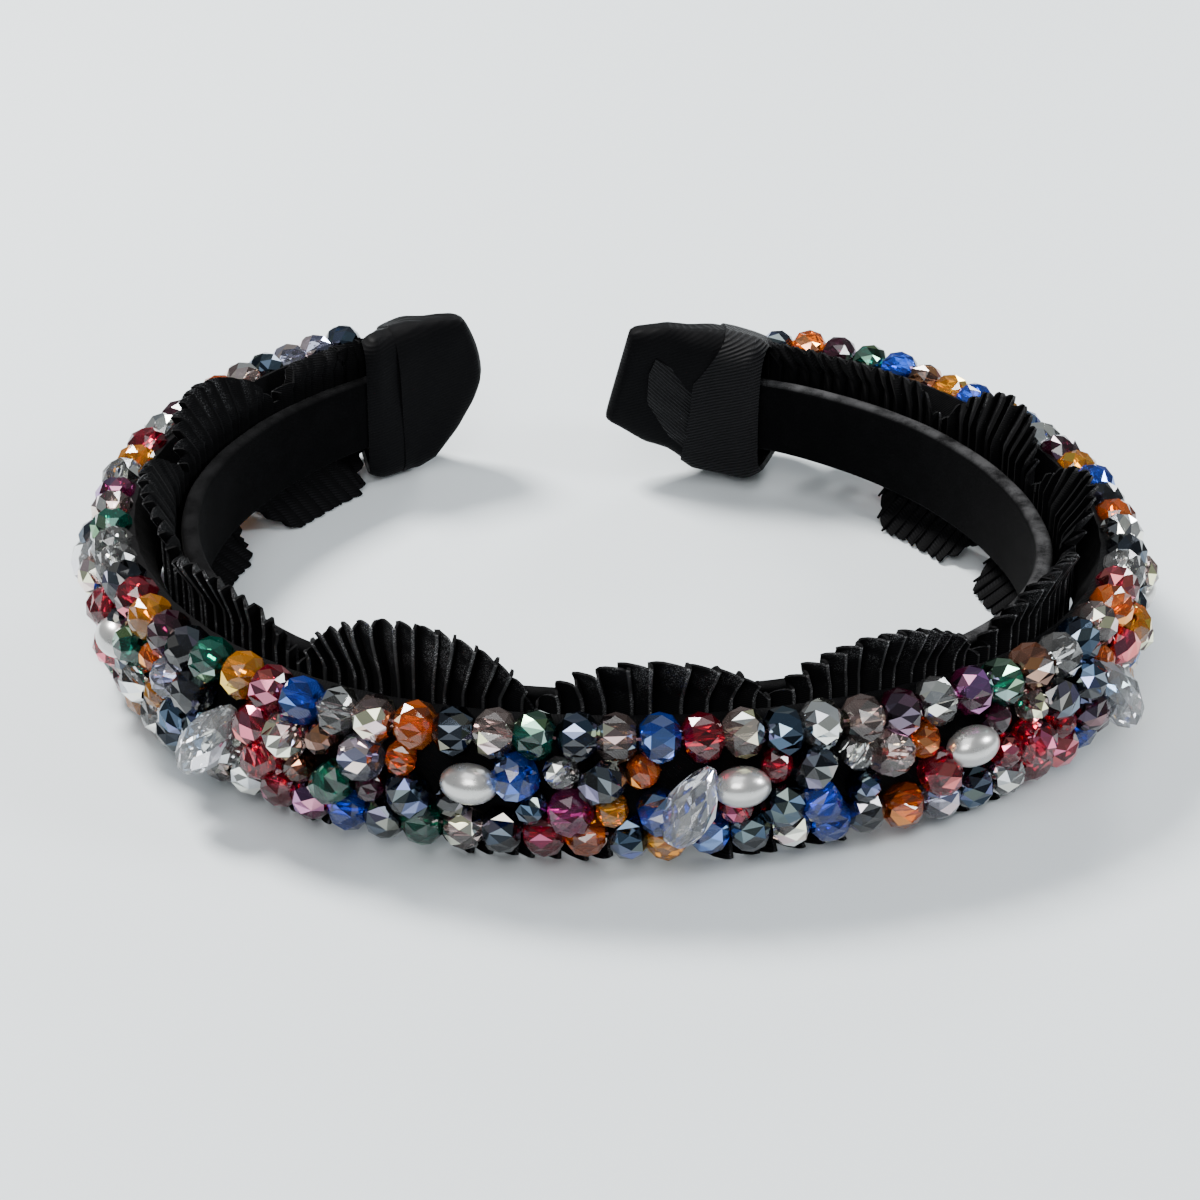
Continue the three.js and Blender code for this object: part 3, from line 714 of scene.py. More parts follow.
def scatter(name, models, settings):
    """Joins turned copies of model stones into one mesh. Each facet keeps how far it faces the coated
    side of its stone, and a number by chance. A setting is a model's number, the stone's centre, its
    turn and a seed."""
    verts, faces, side, facet, shapes = [], [], [], [], []
    for model in models:
        polygons = [list(polygon.vertices) for polygon in model.data.polygons]
        normals = np.array([polygon.normal for polygon in model.data.polygons])
        shapes.append((places(model), polygons, normals))
    base = 0
    for number, centre, turn, seed in settings:
        points, polygons, normals = shapes[number]
        chance = Random(seed)
        verts.append(points @ np.array(turn.transposed()) + np.array(centre))
        faces += [[base + corner for corner in polygon] for polygon in polygons]
        base += len(points)
        coat = Vector((chance.uniform(-0.5, 0.5), chance.uniform(-1, 1), chance.uniform(-1, 1))).normalized()
        side += list(0.5 + 0.5 * (normals @ np.array(coat)))
        facet += [chance.random() for _ in polygons]
    mesh = bpy.data.meshes.new(name)
    mesh.from_pydata(np.concatenate(verts).tolist(), [], faces)
    for key, values in (("side", side), ("facet", facet)):
        mesh.attributes.new(key, "FLOAT", "FACE").data.foreach_set("value", values)
    mesh.update()
    piece = bpy.data.objects.new(name, mesh)
    bpy.context.collection.objects.link(piece)
    return piece


def turned(along, tilt, lift, spin=0.0):
    """Turn that points a stone's X axis along the band, tilted up and lifted off it."""
    forward, outward, up = axes(along)
    axis = (forward * math.cos(tilt) + up * math.sin(tilt)) * math.cos(lift) + outward * math.sin(lift)
    across = axis.cross(up if abs(axis.z) < 0.9 else outward).normalized()
    basis = Matrix((axis, across, axis.cross(across))).transposed()
    return basis @ Matrix.Rotation(spin, 3, "X")


def strip_depth(height, sizes):
    """Depth of the padded strip's outer face at a height, with its rounded shoulders."""
    share = np.interp(abs(height) / (sizes.strip_height / 2), *np.array(STRIP_SECTION).T)
    return STRIP_BACK + share * (STRIP_FRONT - STRIP_BACK)


def spot(along, depth, height):
    """One place in band space, laid round the head."""
    return lay([(along, depth, height)])[0]


# Sizes and colours

def length(name, description, millimetres):
    return FloatProperty(
        name=name, description=description, default=millimetres * MM, min=0, unit="LENGTH",
        subtype="DISTANCE", precision=5)


def colour(name, description, value):
    return FloatVectorProperty(
        name=name, description=description, default=value, size=3, min=0, max=1, subtype="COLOR")


class HeadbandSizes(bpy.types.PropertyGroup):
    band_thickness: length("Band thickness", "Thickness of the velvet covered hard band", 2.6)
    band_height: length("Band height", "Height of the hard band at the front", 15)
    band_end_height: length("Band end height", "Height of the hard band at its ends", 11)
    pleat_pitch: length("Pleat pitch", "Distance from one pleat to the next", 3.1)
    pleat_depth: length("Pleat depth", "How far a pleat swings out at the ribbon's free edges", 0.95)
    pinched_pleat: length("Pinched pleat", "How far a pleat swings out between band and strip", 1)
    ribbon_width: length("Ribbon half width", "Half the ribbon's width where no scallop rises", 6.3)
    crest_rise: length("Scallop rise", "How far a scallop rises above the ribbon's own width", 8.5)
    end_rise: length("End rise", "How far the ribbon rises between the last scallops and the ends", 4.3)
    upper_lean: length("Upper lean", "How far the upper scallops lean out over the strip", 2.4)
    lower_flare: length("Lower flare", "How far the lower scallops spread outwards at the front", 6)
    rear_flare: length("Rear flare", "How far the lower scallops spread inwards at the rear", 6)
    ribbon_cloth: length("Ribbon cloth", "Thickness of the pleated cloth", 0.36)
    strip_height: length("Strip height", "Height of the padded strip", 17)
    bead_diameter: length("Bead diameter", "Diameter of the full-size beads", 6.75)
    bead_length: length("Bead length", "Length of the full-size beads along their thread", 5.9)
    small_bead: length("Small bead", "Diameter of the small beads between them", 4.9)
    small_length: length("Small bead length", "Length of the small beads along their thread", 4.3)
    bead_pitch: length("Bead pitch", "Distance between strung beads", 5.3)
    row_spacing: length("Row spacing", "Distance between the rows of beads", 4.8)
    pearl_length: length("Pearl length", "Length of an oval pearl", 7.6)
    pearl_diameter: length("Pearl diameter", "Diameter of an oval pearl", 5.4)
    drop_length: length("Drop length", "Length of a glass drop", 11)
    drop_diameter: length("Drop diameter", "Diameter of a glass drop", 6.8)
    thread_width: length("Thread width", "Thickness of the thread through the beads", 0.35)
    sleeve_cloth: length("Sleeve cloth", "Thickness of the ribbon wound round the ends", 0.7)


class HeadbandColours(bpy.types.PropertyGroup):
    velvet: colour("Velvet", "Pile of the hard band's cover", (0.0016, 0.0016, 0.0018))
    satin: colour("Pleated ribbon", "Pleated ribbon and strip cloth", (0.0014, 0.0014, 0.0016))
    ribbon: colour("End ribbon", "Ribbed ribbon round the ends", (0.0026, 0.0026, 0.0030))
    pearl: colour("Pearl", "Coat of the oval pearls", (0.52, 0.51, 0.495))
    floor: colour("Floor", "Studio floor", (0.68, 0.73, 0.755))


class HEADBAND_OT_stage(bpy.types.Operator):
    """Set up the camera, the floor and the studio lights"""

    bl_idname = "headband.stage"
    bl_label = "Stage"
    bl_options = {"REGISTER", "UNDO"}

    def execute(self, context):
        colours = context.scene.headband_colours
        start()
        tilt = math.radians(CAMERA_TILT)
        aim = FRONT_SEAT + CAMERA_AIM
        eye = aim - Vector((0, math.cos(tilt), -math.sin(tilt))) * CAMERA_DISTANCE
        bpy.ops.object.camera_add(location=eye, rotation=(math.pi / 2 - tilt, 0, 0))
        camera = bpy.context.object
        camera.data.lens = CAMERA_LENS
        camera.data.sensor_width = 36
        camera.data.clip_start = 0.01
        bpy.context.scene.camera = camera

        start()
        bpy.ops.mesh.primitive_plane_add(size=6, location=(0, 0, -0.05 * MM))
        floor = bpy.context.object
        floor.name = "studio_floor"
        paint = Paint("studio floor", Specular_IOR_Level=0.3)
        cloud = paint.noise(paint.position(), 3, 2, 0.5)
        tone = paint.mix(cloud, shade(colours.floor, 0.97), colours.floor)
        floor.data.materials.append(paint.finish(Base_Color=tone, Roughness=0.55))

        world = bpy.data.worlds.new("studio")
        world.use_nodes = True
        background = world.node_tree.nodes["Background"]
        background.inputs["Color"].default_value = WALL_TINT
        background.inputs["Strength"].default_value = WALL_GLOW
        bpy.context.scene.world = world

        for name, place, size, power, tint in SOFTBOXES:
            start()
            toward = Vector((0, 0, 0.01)) - Vector(place)
            bpy.ops.object.light_add(
                type="AREA", location=place, rotation=toward.to_track_quat("-Z", "Y").to_euler())
            light = bpy.context.object
            light.name = name
            light.data.size = size
            light.data.energy = power
            light.data.color = tint
        return {"FINISHED"}


class HEADBAND_OT_hard_band(bpy.types.Operator):
    """Make the hard inner band in its velvet cover"""

    bl_idname = "headband.hard_band"
    bl_label = "Hard Band"
    bl_options = {"REGISTER", "UNDO"}

    def execute(self, context):
        sizes = context.scene.headband_sizes
        colours = context.scene.headband_colours
        half = sizes.band_height / 2
        first, last = LEFT_END + BAND_TO_TIP, RIGHT_END - BAND_TO_TIP
        outline = rounded_box((0, sizes.band_thickness), (-half, half), 0.9 * MM, 4)
        band = sweep("velvet_band", outline, first, last, 1.6 * MM)
        points = places(band)
        share = np.where(points[:, 0] < 0, points[:, 0] / first, points[:, 0] / last)
        edge = np.abs(points[:, 2]) / half
        points[:, 2] *= 1 + (sizes.band_end_height / sizes.band_height - 1) * share ** 2
        points[:, 1] += 0.06 * MM * np.sin(points[:, 0] * 310) * np.sin(points[:, 0] * 97)
        move_to(band, points)
        # The grey edges are partly wear and partly painted sheen, strong on the right half where the light
        # falls
        worn_and_lit = np.where(points[:, 0] > WORN_AND_LIT_FROM, 1, WORN_AND_LIT_ELSEWHERE)
        keep(band, "wear", ramp(edge, 0.93, 0.07) * worn_and_lit)
        bend_round(band)
        dress(band, velvet_paint(colours), "black_velvet", "inner_band", smooth=50)
        return {"FINISHED"}


def scallops(along):
    """How many scallops have passed at a place, and the middle of the upper and the lower one there."""
    index = np.clip(np.searchsorted(DIPS, along, side="right") - 1, 0, len(DIPS) - 2)
    width = DIPS[index + 1] - DIPS[index]
    phase = index + (along - DIPS[index]) / width
    upper = DIPS[index] + width / 2
    nearest = np.clip(np.round(phase).astype(int), 0, len(DIPS) - 1)
    return phase, upper, DIPS[nearest]


def ribbon_edges(along, sizes):
    """Heights of the ribbon's upper and lower edge from the middle of the band."""
    phase = scallops(along)[0]
    last = len(DIPS) - 1
    bottom = FRONT_SEAT.z - 0.3 * MM
    past = np.maximum(DIPS[0] - along, along - DIPS[-1])
    scallop = np.clip(np.floor(phase).astype(int), 0, last - 1)
    rise = sizes.crest_rise * np.array(SCALLOP_RISES)[scallop]
    above = rise * np.abs(np.sin(np.pi * phase)) ** SCALLOP_FULLNESS
    above = np.where(past > 0, sizes.end_rise * ramp(past, 0, 5 * MM), above)
    drawn = LAST_LOWER_SHIFT * ramp(-along, *LAST_LOWER_SPAN)
    phase = scallops(along + drawn)[0]
    below = np.where((phase > -0.5) & (phase < last + 0.5), sizes.crest_rise, 0.8 * MM)
    lower = sizes.ribbon_width + below * np.abs(np.cos(np.pi * phase)) ** SCALLOP_FULLNESS
    return sizes.ribbon_width + above, np.minimum(lower, bottom)


def pleat_width(along):
    """Width of the pleats at a place: they are widest near the front."""
    near = math.exp(-((along - WIDEST_PLEAT_PLACE) / WIDE_PLEAT_REACH) ** 2)
    return REAR_PLEAT + FRONT_PLEAT_MORE * near


class HEADBAND_OT_pleated_ribbon(bpy.types.Operator):
    """Make the pleated ribbon that rises and falls in scallops"""

    bl_idname = "headband.pleated_ribbon"
    bl_label = "Pleated Ribbon"
    bl_options = {"REGISTER", "UNDO"}

    def execute(self, context):
        sizes = context.scene.headband_sizes
        colours = context.scene.headband_colours
        start()
        first, last = LEFT_MOUTH - RIBBON_TUCK, RIGHT_MOUTH + RIBBON_TUCK
        stops = [first]
        while stops[-1] < last:
            stops.append(stops[-1] + sizes.pleat_pitch * pleat_width(stops[-1]))
        stops = np.array(stops)
        pleats = len(stops) - 1
        pitches = np.append(np.diff(stops), sizes.pleat_pitch)
        columns, rows = pleats * len(PLEAT), 20
        bpy.ops.mesh.primitive_grid_add(x_subdivisions=columns, y_subdivisions=rows, size=2)
        ribbon = bpy.context.object
        ribbon.name = "pleated_ribbon_cloth"
        grid = places(ribbon)
        column = np.round((grid[:, 0] + 1) / 2 * columns).astype(int)
        pleat, step = column // len(PLEAT), column % len(PLEAT)
        shares, swings = np.array(PLEAT).T
        strayed = 0.11 * np.sin(pleat * 3.7) + 0.08 * np.sin(pleat * 1.3)
        along = stops[pleat] + (shares[step] + strayed) * pitches[pleat]
        centre = stops[pleat] + 0.5 * pitches[pleat]
        share = (grid[:, 1] + 1) / 2
        upper, lower = ribbon_edges(along, sizes)
        stepped_upper, stepped_lower = ribbon_edges(centre, sizes)
        rounding = 0.3 * MM * swings[step] ** 4
        upper = 0.5 * (upper + stepped_upper) - rounding
        lower = 0.5 * (lower + stepped_lower) - rounding * 0.5
        height = -lower + share * (upper + lower)

        free = ease(np.abs(height), *OPEN_SPAN)
        swing = sizes.pinched_pleat + (sizes.pleat_depth - sizes.pinched_pleat) * free
        rear = ease(np.abs(along), *REAR_SPAN)
        uneven = 1 + 0.2 * np.sin(pleat * 2.4) + 0.14 * np.sin(pleat * 5.1)
        shallow = 1 - np.where(height < 0, 0.45, 0.15) * rear
        depth = RIBBON_MIDDLE + swing * uneven * shallow * swings[step]
        hang = ramp(-height, *FLARE_SPAN)
        depth += (sizes.lower_flare - (sizes.lower_flare + sizes.rear_flare) * rear) * hang
        rising = ramp(height, *LEAN_SPAN)
        upright = np.exp(-((along - UPRIGHT_PLACE) / UPRIGHT_REACH) ** 2)
        lean = sizes.upper_lean * (1 + 0.4 * rear) * (1 - 0.9 * upright)
        depth += lean * rising + 0.35 * MM * free * np.sin(along * 140)

        _, crest, trough = scallops(along)
        spread_up = ramp(height, *FAN_SPAN)
        fan = UPPER_FAN * spread_up * (along - crest) + LOWER_FAN * hang * (along - trough)
        inside = (along > LEFT_MOUTH + 2 * MM) & (along < RIGHT_MOUTH - 2 * MM)
        move_to(ribbon, np.column_stack([along + np.where(inside, fan, 0), depth, height]))
        keep(ribbon, "cloth", np.column_stack([column / len(PLEAT), height, along]))
        bend_round(ribbon)

        cloth = ribbon.modifiers.new("Cloth", "SOLIDIFY")
        cloth.thickness = sizes.ribbon_cloth
        cloth.offset = 0
        apply(ribbon, cloth)
        dress(ribbon, pleat_paint(colours), "black_satin", "pleated_ribbon", smooth=70)
        return {"FINISHED"}


class HEADBAND_OT_padded_strip(bpy.types.Operator):
    """Make the padded cloth strip under the beads"""

    bl_idname = "headband.padded_strip"
    bl_label = "Padded Strip"
    bl_options = {"REGISTER", "UNDO"}

    def execute(self, context):
        sizes = context.scene.headband_sizes
        colours = context.scene.headband_colours
        half = sizes.strip_height / 2
        first, last = LEFT_MOUTH - STRIP_TUCK - STRIP_LEFT_MORE, RIGHT_MOUTH + STRIP_TUCK
        levels = [share for share, _ in STRIP_SECTION]
        heights = [-share * half for share in reversed(levels)] + [share * half for share in levels[1:]]
        back = STRIP_BACK_SHARE * half
        outline = [(STRIP_BACK, back), (STRIP_BACK, 0), (STRIP_BACK, -back)]
        outline += [(strip_depth(height, sizes), height) for height in heights]
        strip = sweep("padded_strip_cloth", outline, first, last, 1.8 * MM)
        points = places(strip)
        front = ramp(points[:, 1], STRIP_BACK, STRIP_FRONT - STRIP_BACK)
        quilt = np.cos(points[:, 0] / sizes.bead_pitch * 2 * np.pi)
        quilt = quilt * np.cos(points[:, 2] / sizes.row_spacing * np.pi)
        points[:, 1] += front * (QUILT_DEPTH * quilt - QUILT_PRESS)
        move_to(strip, points)
        bend_round(strip)
        nodes = ("beaded_strip_left", "beaded_strip_right")
        dress(strip, satin_paint(colours), "black_satin", *nodes, smooth=60)
        return {"FINISHED"}


class HEADBAND_OT_beads(bpy.types.Operator):
    """Make the rows of faceted glass beads"""

    bl_idname = "headband.beads"
    bl_label = "Glass Beads"
    bl_options = {"REGISTER", "UNDO"}

    def execute(self, context):
        sizes = context.scene.headband_sizes
        full = cut_bead(sizes.bead_diameter, sizes.bead_length)
        models = [full, cut_bead(sizes.small_bead, sizes.small_length)]
        settings = {letter: [] for letter in GLASS}
        chance = Random(7)
        for row, letters in ROWS.items():
            strung = row in STRUNG_ROWS
            stray, most_tilt, most_lift = STRUNG_STRAY if strung else SEWN_STRAY
            for place, letter in enumerate(letters):
                if letter == ".":
                    continue
                small = letter.islower()
                beads = place - FRONT_PLACE + ROW_SHIFTS[row] + chance.uniform(-stray, stray)
                along = beads * sizes.bead_pitch
                if not LEFT_MOUTH - MOUTH_CUT["left"] + 3 * MM < along < RIGHT_MOUTH + 1.6 * MM:
                    continue
                height = (ROW_HEIGHTS[row] + chance.uniform(-0.06, 0.06)) * sizes.row_spacing
                if small and row == "upper":
                    height += SMALL_UPPER_SHIFT
                rise = SMALL_RISE if small else SEWN_RISE
                depth = BEAD_LINE if strung else strip_depth(height, sizes) + rise
                if along > RIGHT_MOUTH - 1 * MM:
                    depth -= MOUTH_PRESS
                depth += chance.uniform(-0.25, 0.25) * MM
                tilt = chance.uniform(-most_tilt, most_tilt)
                lift = chance.uniform(-most_lift, most_lift)
                turn = turned(along, tilt, lift, chance.uniform(0, math.pi))
                seed = chance.randrange(10000)
                setting = (int(small), spot(along, depth, height), turn, seed)
                settings[letter.upper()].append(setting)
        for letter, chosen in settings.items():
            piece = scatter(GLASS[letter][0] + "_beads", models, chosen)
            dress(piece, glass_paint(letter), "bead_glass", "beaded_strip_left", "beaded_strip_right")
        for model in models:
            bpy.data.objects.remove(model)
        return {"FINISHED"}


class HEADBAND_OT_pearls(bpy.types.Operator):
    """Make the oval pearls"""

    bl_idname = "headband.pearls"
    bl_label = "Pearls"
    bl_options = {"REGISTER", "UNDO"}

    def execute(self, context):
        sizes = context.scene.headband_sizes
        colours = context.scene.headband_colours
        start()
        radius = sizes.pearl_diameter / 2
        bpy.ops.mesh.primitive_uv_sphere_add(segments=32, ring_count=20, radius=radius)
        pearl = bpy.context.object
        bpy.ops.object.mode_set(mode="EDIT")
        near = radius * 0.2
        choose(pearl, "VERT", lambda at: at[0].xy.length < near)
        bpy.ops.mesh.delete(type="VERT")
        bpy.ops.mesh.select_all(action="DESELECT")
        bpy.ops.mesh.select_mode(type="EDGE")
        bpy.ops.mesh.select_non_manifold()
        bpy.ops.mesh.bridge_edge_loops()
        bpy.ops.mesh.select_all(action="SELECT")
        bpy.ops.mesh.normals_make_consistent(inside=False)
        bpy.ops.transform.resize(value=(1, 1, sizes.pearl_length / sizes.pearl_diameter))
        bpy.ops.transform.rotate(value=math.pi / 2, orient_axis="Y", center_override=(0, 0, 0))
        bpy.ops.object.mode_set(mode="OBJECT")
        depth = STRIP_FRONT + 0.3 * MM + radius
        settings = []
        for number, (beads, row) in enumerate(PEARLS):
            along = beads * sizes.bead_pitch
            turn = turned(along, 0.06 * math.sin(number * 2), 0)
            settings.append((0, spot(along, depth, row * sizes.row_spacing), turn, number))
        pearls = scatter("pearls", [pearl], settings)
        bpy.data.objects.remove(pearl)
        nodes = ["pearl_%d" % (number + 1) for number in range(len(PEARLS))]
        dress(pearls, pearl_paint(colours), "pearl_coat", *nodes, smooth=40)
        return {"FINISHED"}


class HEADBAND_OT_drops(bpy.types.Operator):
    """Make the clear faceted drops"""

    bl_idname = "headband.drops"
    bl_label = "Glass Drops"
    bl_options = {"REGISTER", "UNDO"}

    def execute(self, context):
        sizes = context.scene.headband_sizes
        drop = cut_drop(sizes.drop_length, sizes.drop_diameter)
        depth = STRIP_FRONT + sizes.drop_diameter / 2
        settings = []
        for number, (beads, row, tilt, lift) in enumerate(DROPS):
            along = beads * sizes.bead_pitch
            turn = turned(along, math.radians(tilt), math.radians(lift))
            out = depth - DROP_STAND * sizes.drop_length * math.sin(math.radians(lift))
            settings.append((0, spot(along, out, row * sizes.row_spacing), turn, number + 50))
        drops = scatter("glass_drops", [drop], settings)
        bpy.data.objects.remove(drop)
        nodes = ["glass_drop_%d" % (number + 1) for number in range(len(DROPS))]
        dress(drops, drop_paint(), "clear_glass", *nodes)
        return {"FINISHED"}


class HEADBAND_OT_threads(bpy.types.Operator):
    """Make the threads that the strung rows of beads hang on"""

    bl_idname = "headband.threads"
    bl_label = "Threads"
    bl_options = {"REGISTER", "UNDO"}

    def execute(self, context):
        sizes = context.scene.headband_sizes
        half = sizes.thread_width / 2
        for row in STRUNG_ROWS:
            height = ROW_HEIGHTS[row] * sizes.row_spacing
            outline = [(BEAD_LINE + half * math.cos(a), height + half * math.sin(a))
                       for a in np.linspace(0, 2 * math.pi, 7)[:-1]]
            first, last = LEFT_MOUTH - MOUTH_CUT["left"] + 4 * MM, RIGHT_MOUTH - 4 * MM
            thread = sweep(row + "_thread", outline, first, last, 2.5 * MM)
            bend_round(thread)
            dress(thread, thread_paint(), "black_satin", smooth=60)
        return {"FINISHED"}


# Sections of the sleeves from the mouth to the tip: share of the length, then how far they reach up,
# down and outwards, as shares of the sleeve's rise, drop and depth
SLEEVES = {
    "right": (
        (0, 0.9, 0.88, 1), (0.18, 0.94, 0.91, 1.03), (0.32, 0.97, 0.88, 1), (0.44, 1, 0.85, 0.74),
        (0.54, 1, 0.68, 0.46), (0.6, 1.01, 0.6, 0.28), (0.75, 1.04, 0.5, 0.16), (1, 0.98, 0.2, 0),
    ),
    "left": (
        (0, 0.98, 1, 1), (0.18, 0.98, 1.02, 1.02), (0.32, 0.98, 1, 1), (0.46, 1, 0.99, 0.7),
        (0.58, 1, 0.88, 0.4), (0.64, 1, 0.76, 0.28), (0.78, 1.01, 0.5, 0.16),
        (0.92, 1, 0.14, 0.05), (1, 0.97, -0.2, 0),
    ),
}
SLEEVE_RISE = 12.4 * MM
SLEEVE_DROP = 11.8 * MM
SLEEVE_DEPTHS = (2.8 * MM, 14.1 * MM)
SLEEVE_NEAR = -0.9 * MM

# How far the outer top lies below the inner one: along the sleeve, and how much more at the mouth
OUTER_FALL = {"left": (3 * MM, 5 * MM), "right": (3 * MM, 2.5 * MM)}

# How far the top of the left tip lies back, and how far the bottom of the right one stands out
TIP_ROUND = 3.2 * MM
TIP_SLANT = 4.4 * MM

# Edge of the wound ribbon, as shares of the sleeve: on the inner face from its bottom to its top, and
# on the outer face
WRAP_EDGES = {
    "left": ((-1, 0.62), (-0.4, 0.58), (0.3, 0.55), (1, 0.5), 0.5),
    "right": ((-1, 0.52), (-0.2, 0.48), (0.3, 0.48), (0.95, 0.27), 0.42),
}

# Slant of the ribs of each wrap, in radians, and how far they stand out, which also sets how much painted
# sheen lies on their crests
WRAP_WEAVE = {"left": (0.15, 0.1), "right": (0.27, 0.9)}
# The tips' ribs stand out only a little, and carry only a little painted sheen
TIP_RELIEF_AND_SHEEN = 0.05

# Share of the sleeve where its tip cover starts, and how far the wrap lies over it
TIP_START = 0.3
WRAP_OVER = 0.45 * MM

# Corner of ribbon that is folded out of the right wrap: share of its height, then how far its free
# edge lies from the tip, and how high, in mm
FOLD = ((0, 14, 5.7), (0.25, 9.8, 8.7), (0.55, 5.3, 14.5), (0.8, 5.5, 19.2), (1, 6.9, 21.9))

# Where the corner leaves the wrap, in mm: distance from the tip, height of its bottom, and how far up
# it reaches. Then its weave, as the wraps have it.
FOLD_ROOT = 17
FOLD_BOTTOM = 5.7
FOLD_HEIGHT = 11.1
FOLD_SLANT = -0.6
# How far the corner's ribs stand out, which also sets the painted sheen on their crests
FOLD_RELIEF_AND_SHEEN = 1.2


def even_loop(count):
    """Points evenly round a section of a sleeve, squarer on its inner side than on its outer one."""
    angle = np.linspace(0, 2 * math.pi, 721)
    across, up = np.cos(angle), np.sin(angle)
    power = np.where(across < 0, 0.3, 0.5)
    across = np.sign(across) * np.abs(across) ** power
    up = np.sign(up) * np.abs(up) ** power
    way = np.concatenate([[0], np.cumsum(np.hypot(np.diff(across), np.diff(up)))])
    stops = np.linspace(0, way[-1], count + 1)[:-1]
    return list(zip(np.interp(stops, way, across) * MM, np.interp(stops, way, up) * MM))


def sleeve_point(side, share, across, up, out=0.0):
    """Points of a sleeve's skin in band space: share of its length, and place round it from -1 to 1."""
    table = np.array(SLEEVES[side])
    rise, drop, deep = (np.interp(share, table[:, 0], table[:, n]) for n in (1, 2, 3))
    top = rise * SLEEVE_RISE + out
    bottom = -drop * SLEEVE_DROP - out
    near = SLEEVE_NEAR - out
    far = SLEEVE_DEPTHS[0] + deep * (SLEEVE_DEPTHS[1] - SLEEVE_DEPTHS[0]) + out
    depth = (near + far) / 2 + (far - near) / 2 * across
    height = (top + bottom) / 2 + (top - bottom) / 2 * up
    fall, more = OUTER_FALL[side]
    fall = fall + more * (1 - ramp(share, 0, 0.5))
    height = height - fall * deep * ramp(across, -0.5, 1.5) * np.clip(up, 0, 1)
    mouth, tip = (LEFT_MOUTH, LEFT_END) if side == "left" else (RIGHT_MOUTH, RIGHT_END)
    rising = (height - bottom) / (top - bottom)
    lean = share * (TIP_SLANT * (0.5 - rising) if side == "right" else -TIP_ROUND * rising ** 2)
    cut = MOUTH_CUT[side] * (1 - share) * (across + 1) / 2
    reach = share * (abs(tip - mouth) - TIP_BACK[side])
    return mouth + (1 if tip > mouth else -1) * (reach + lean + cut), depth, height


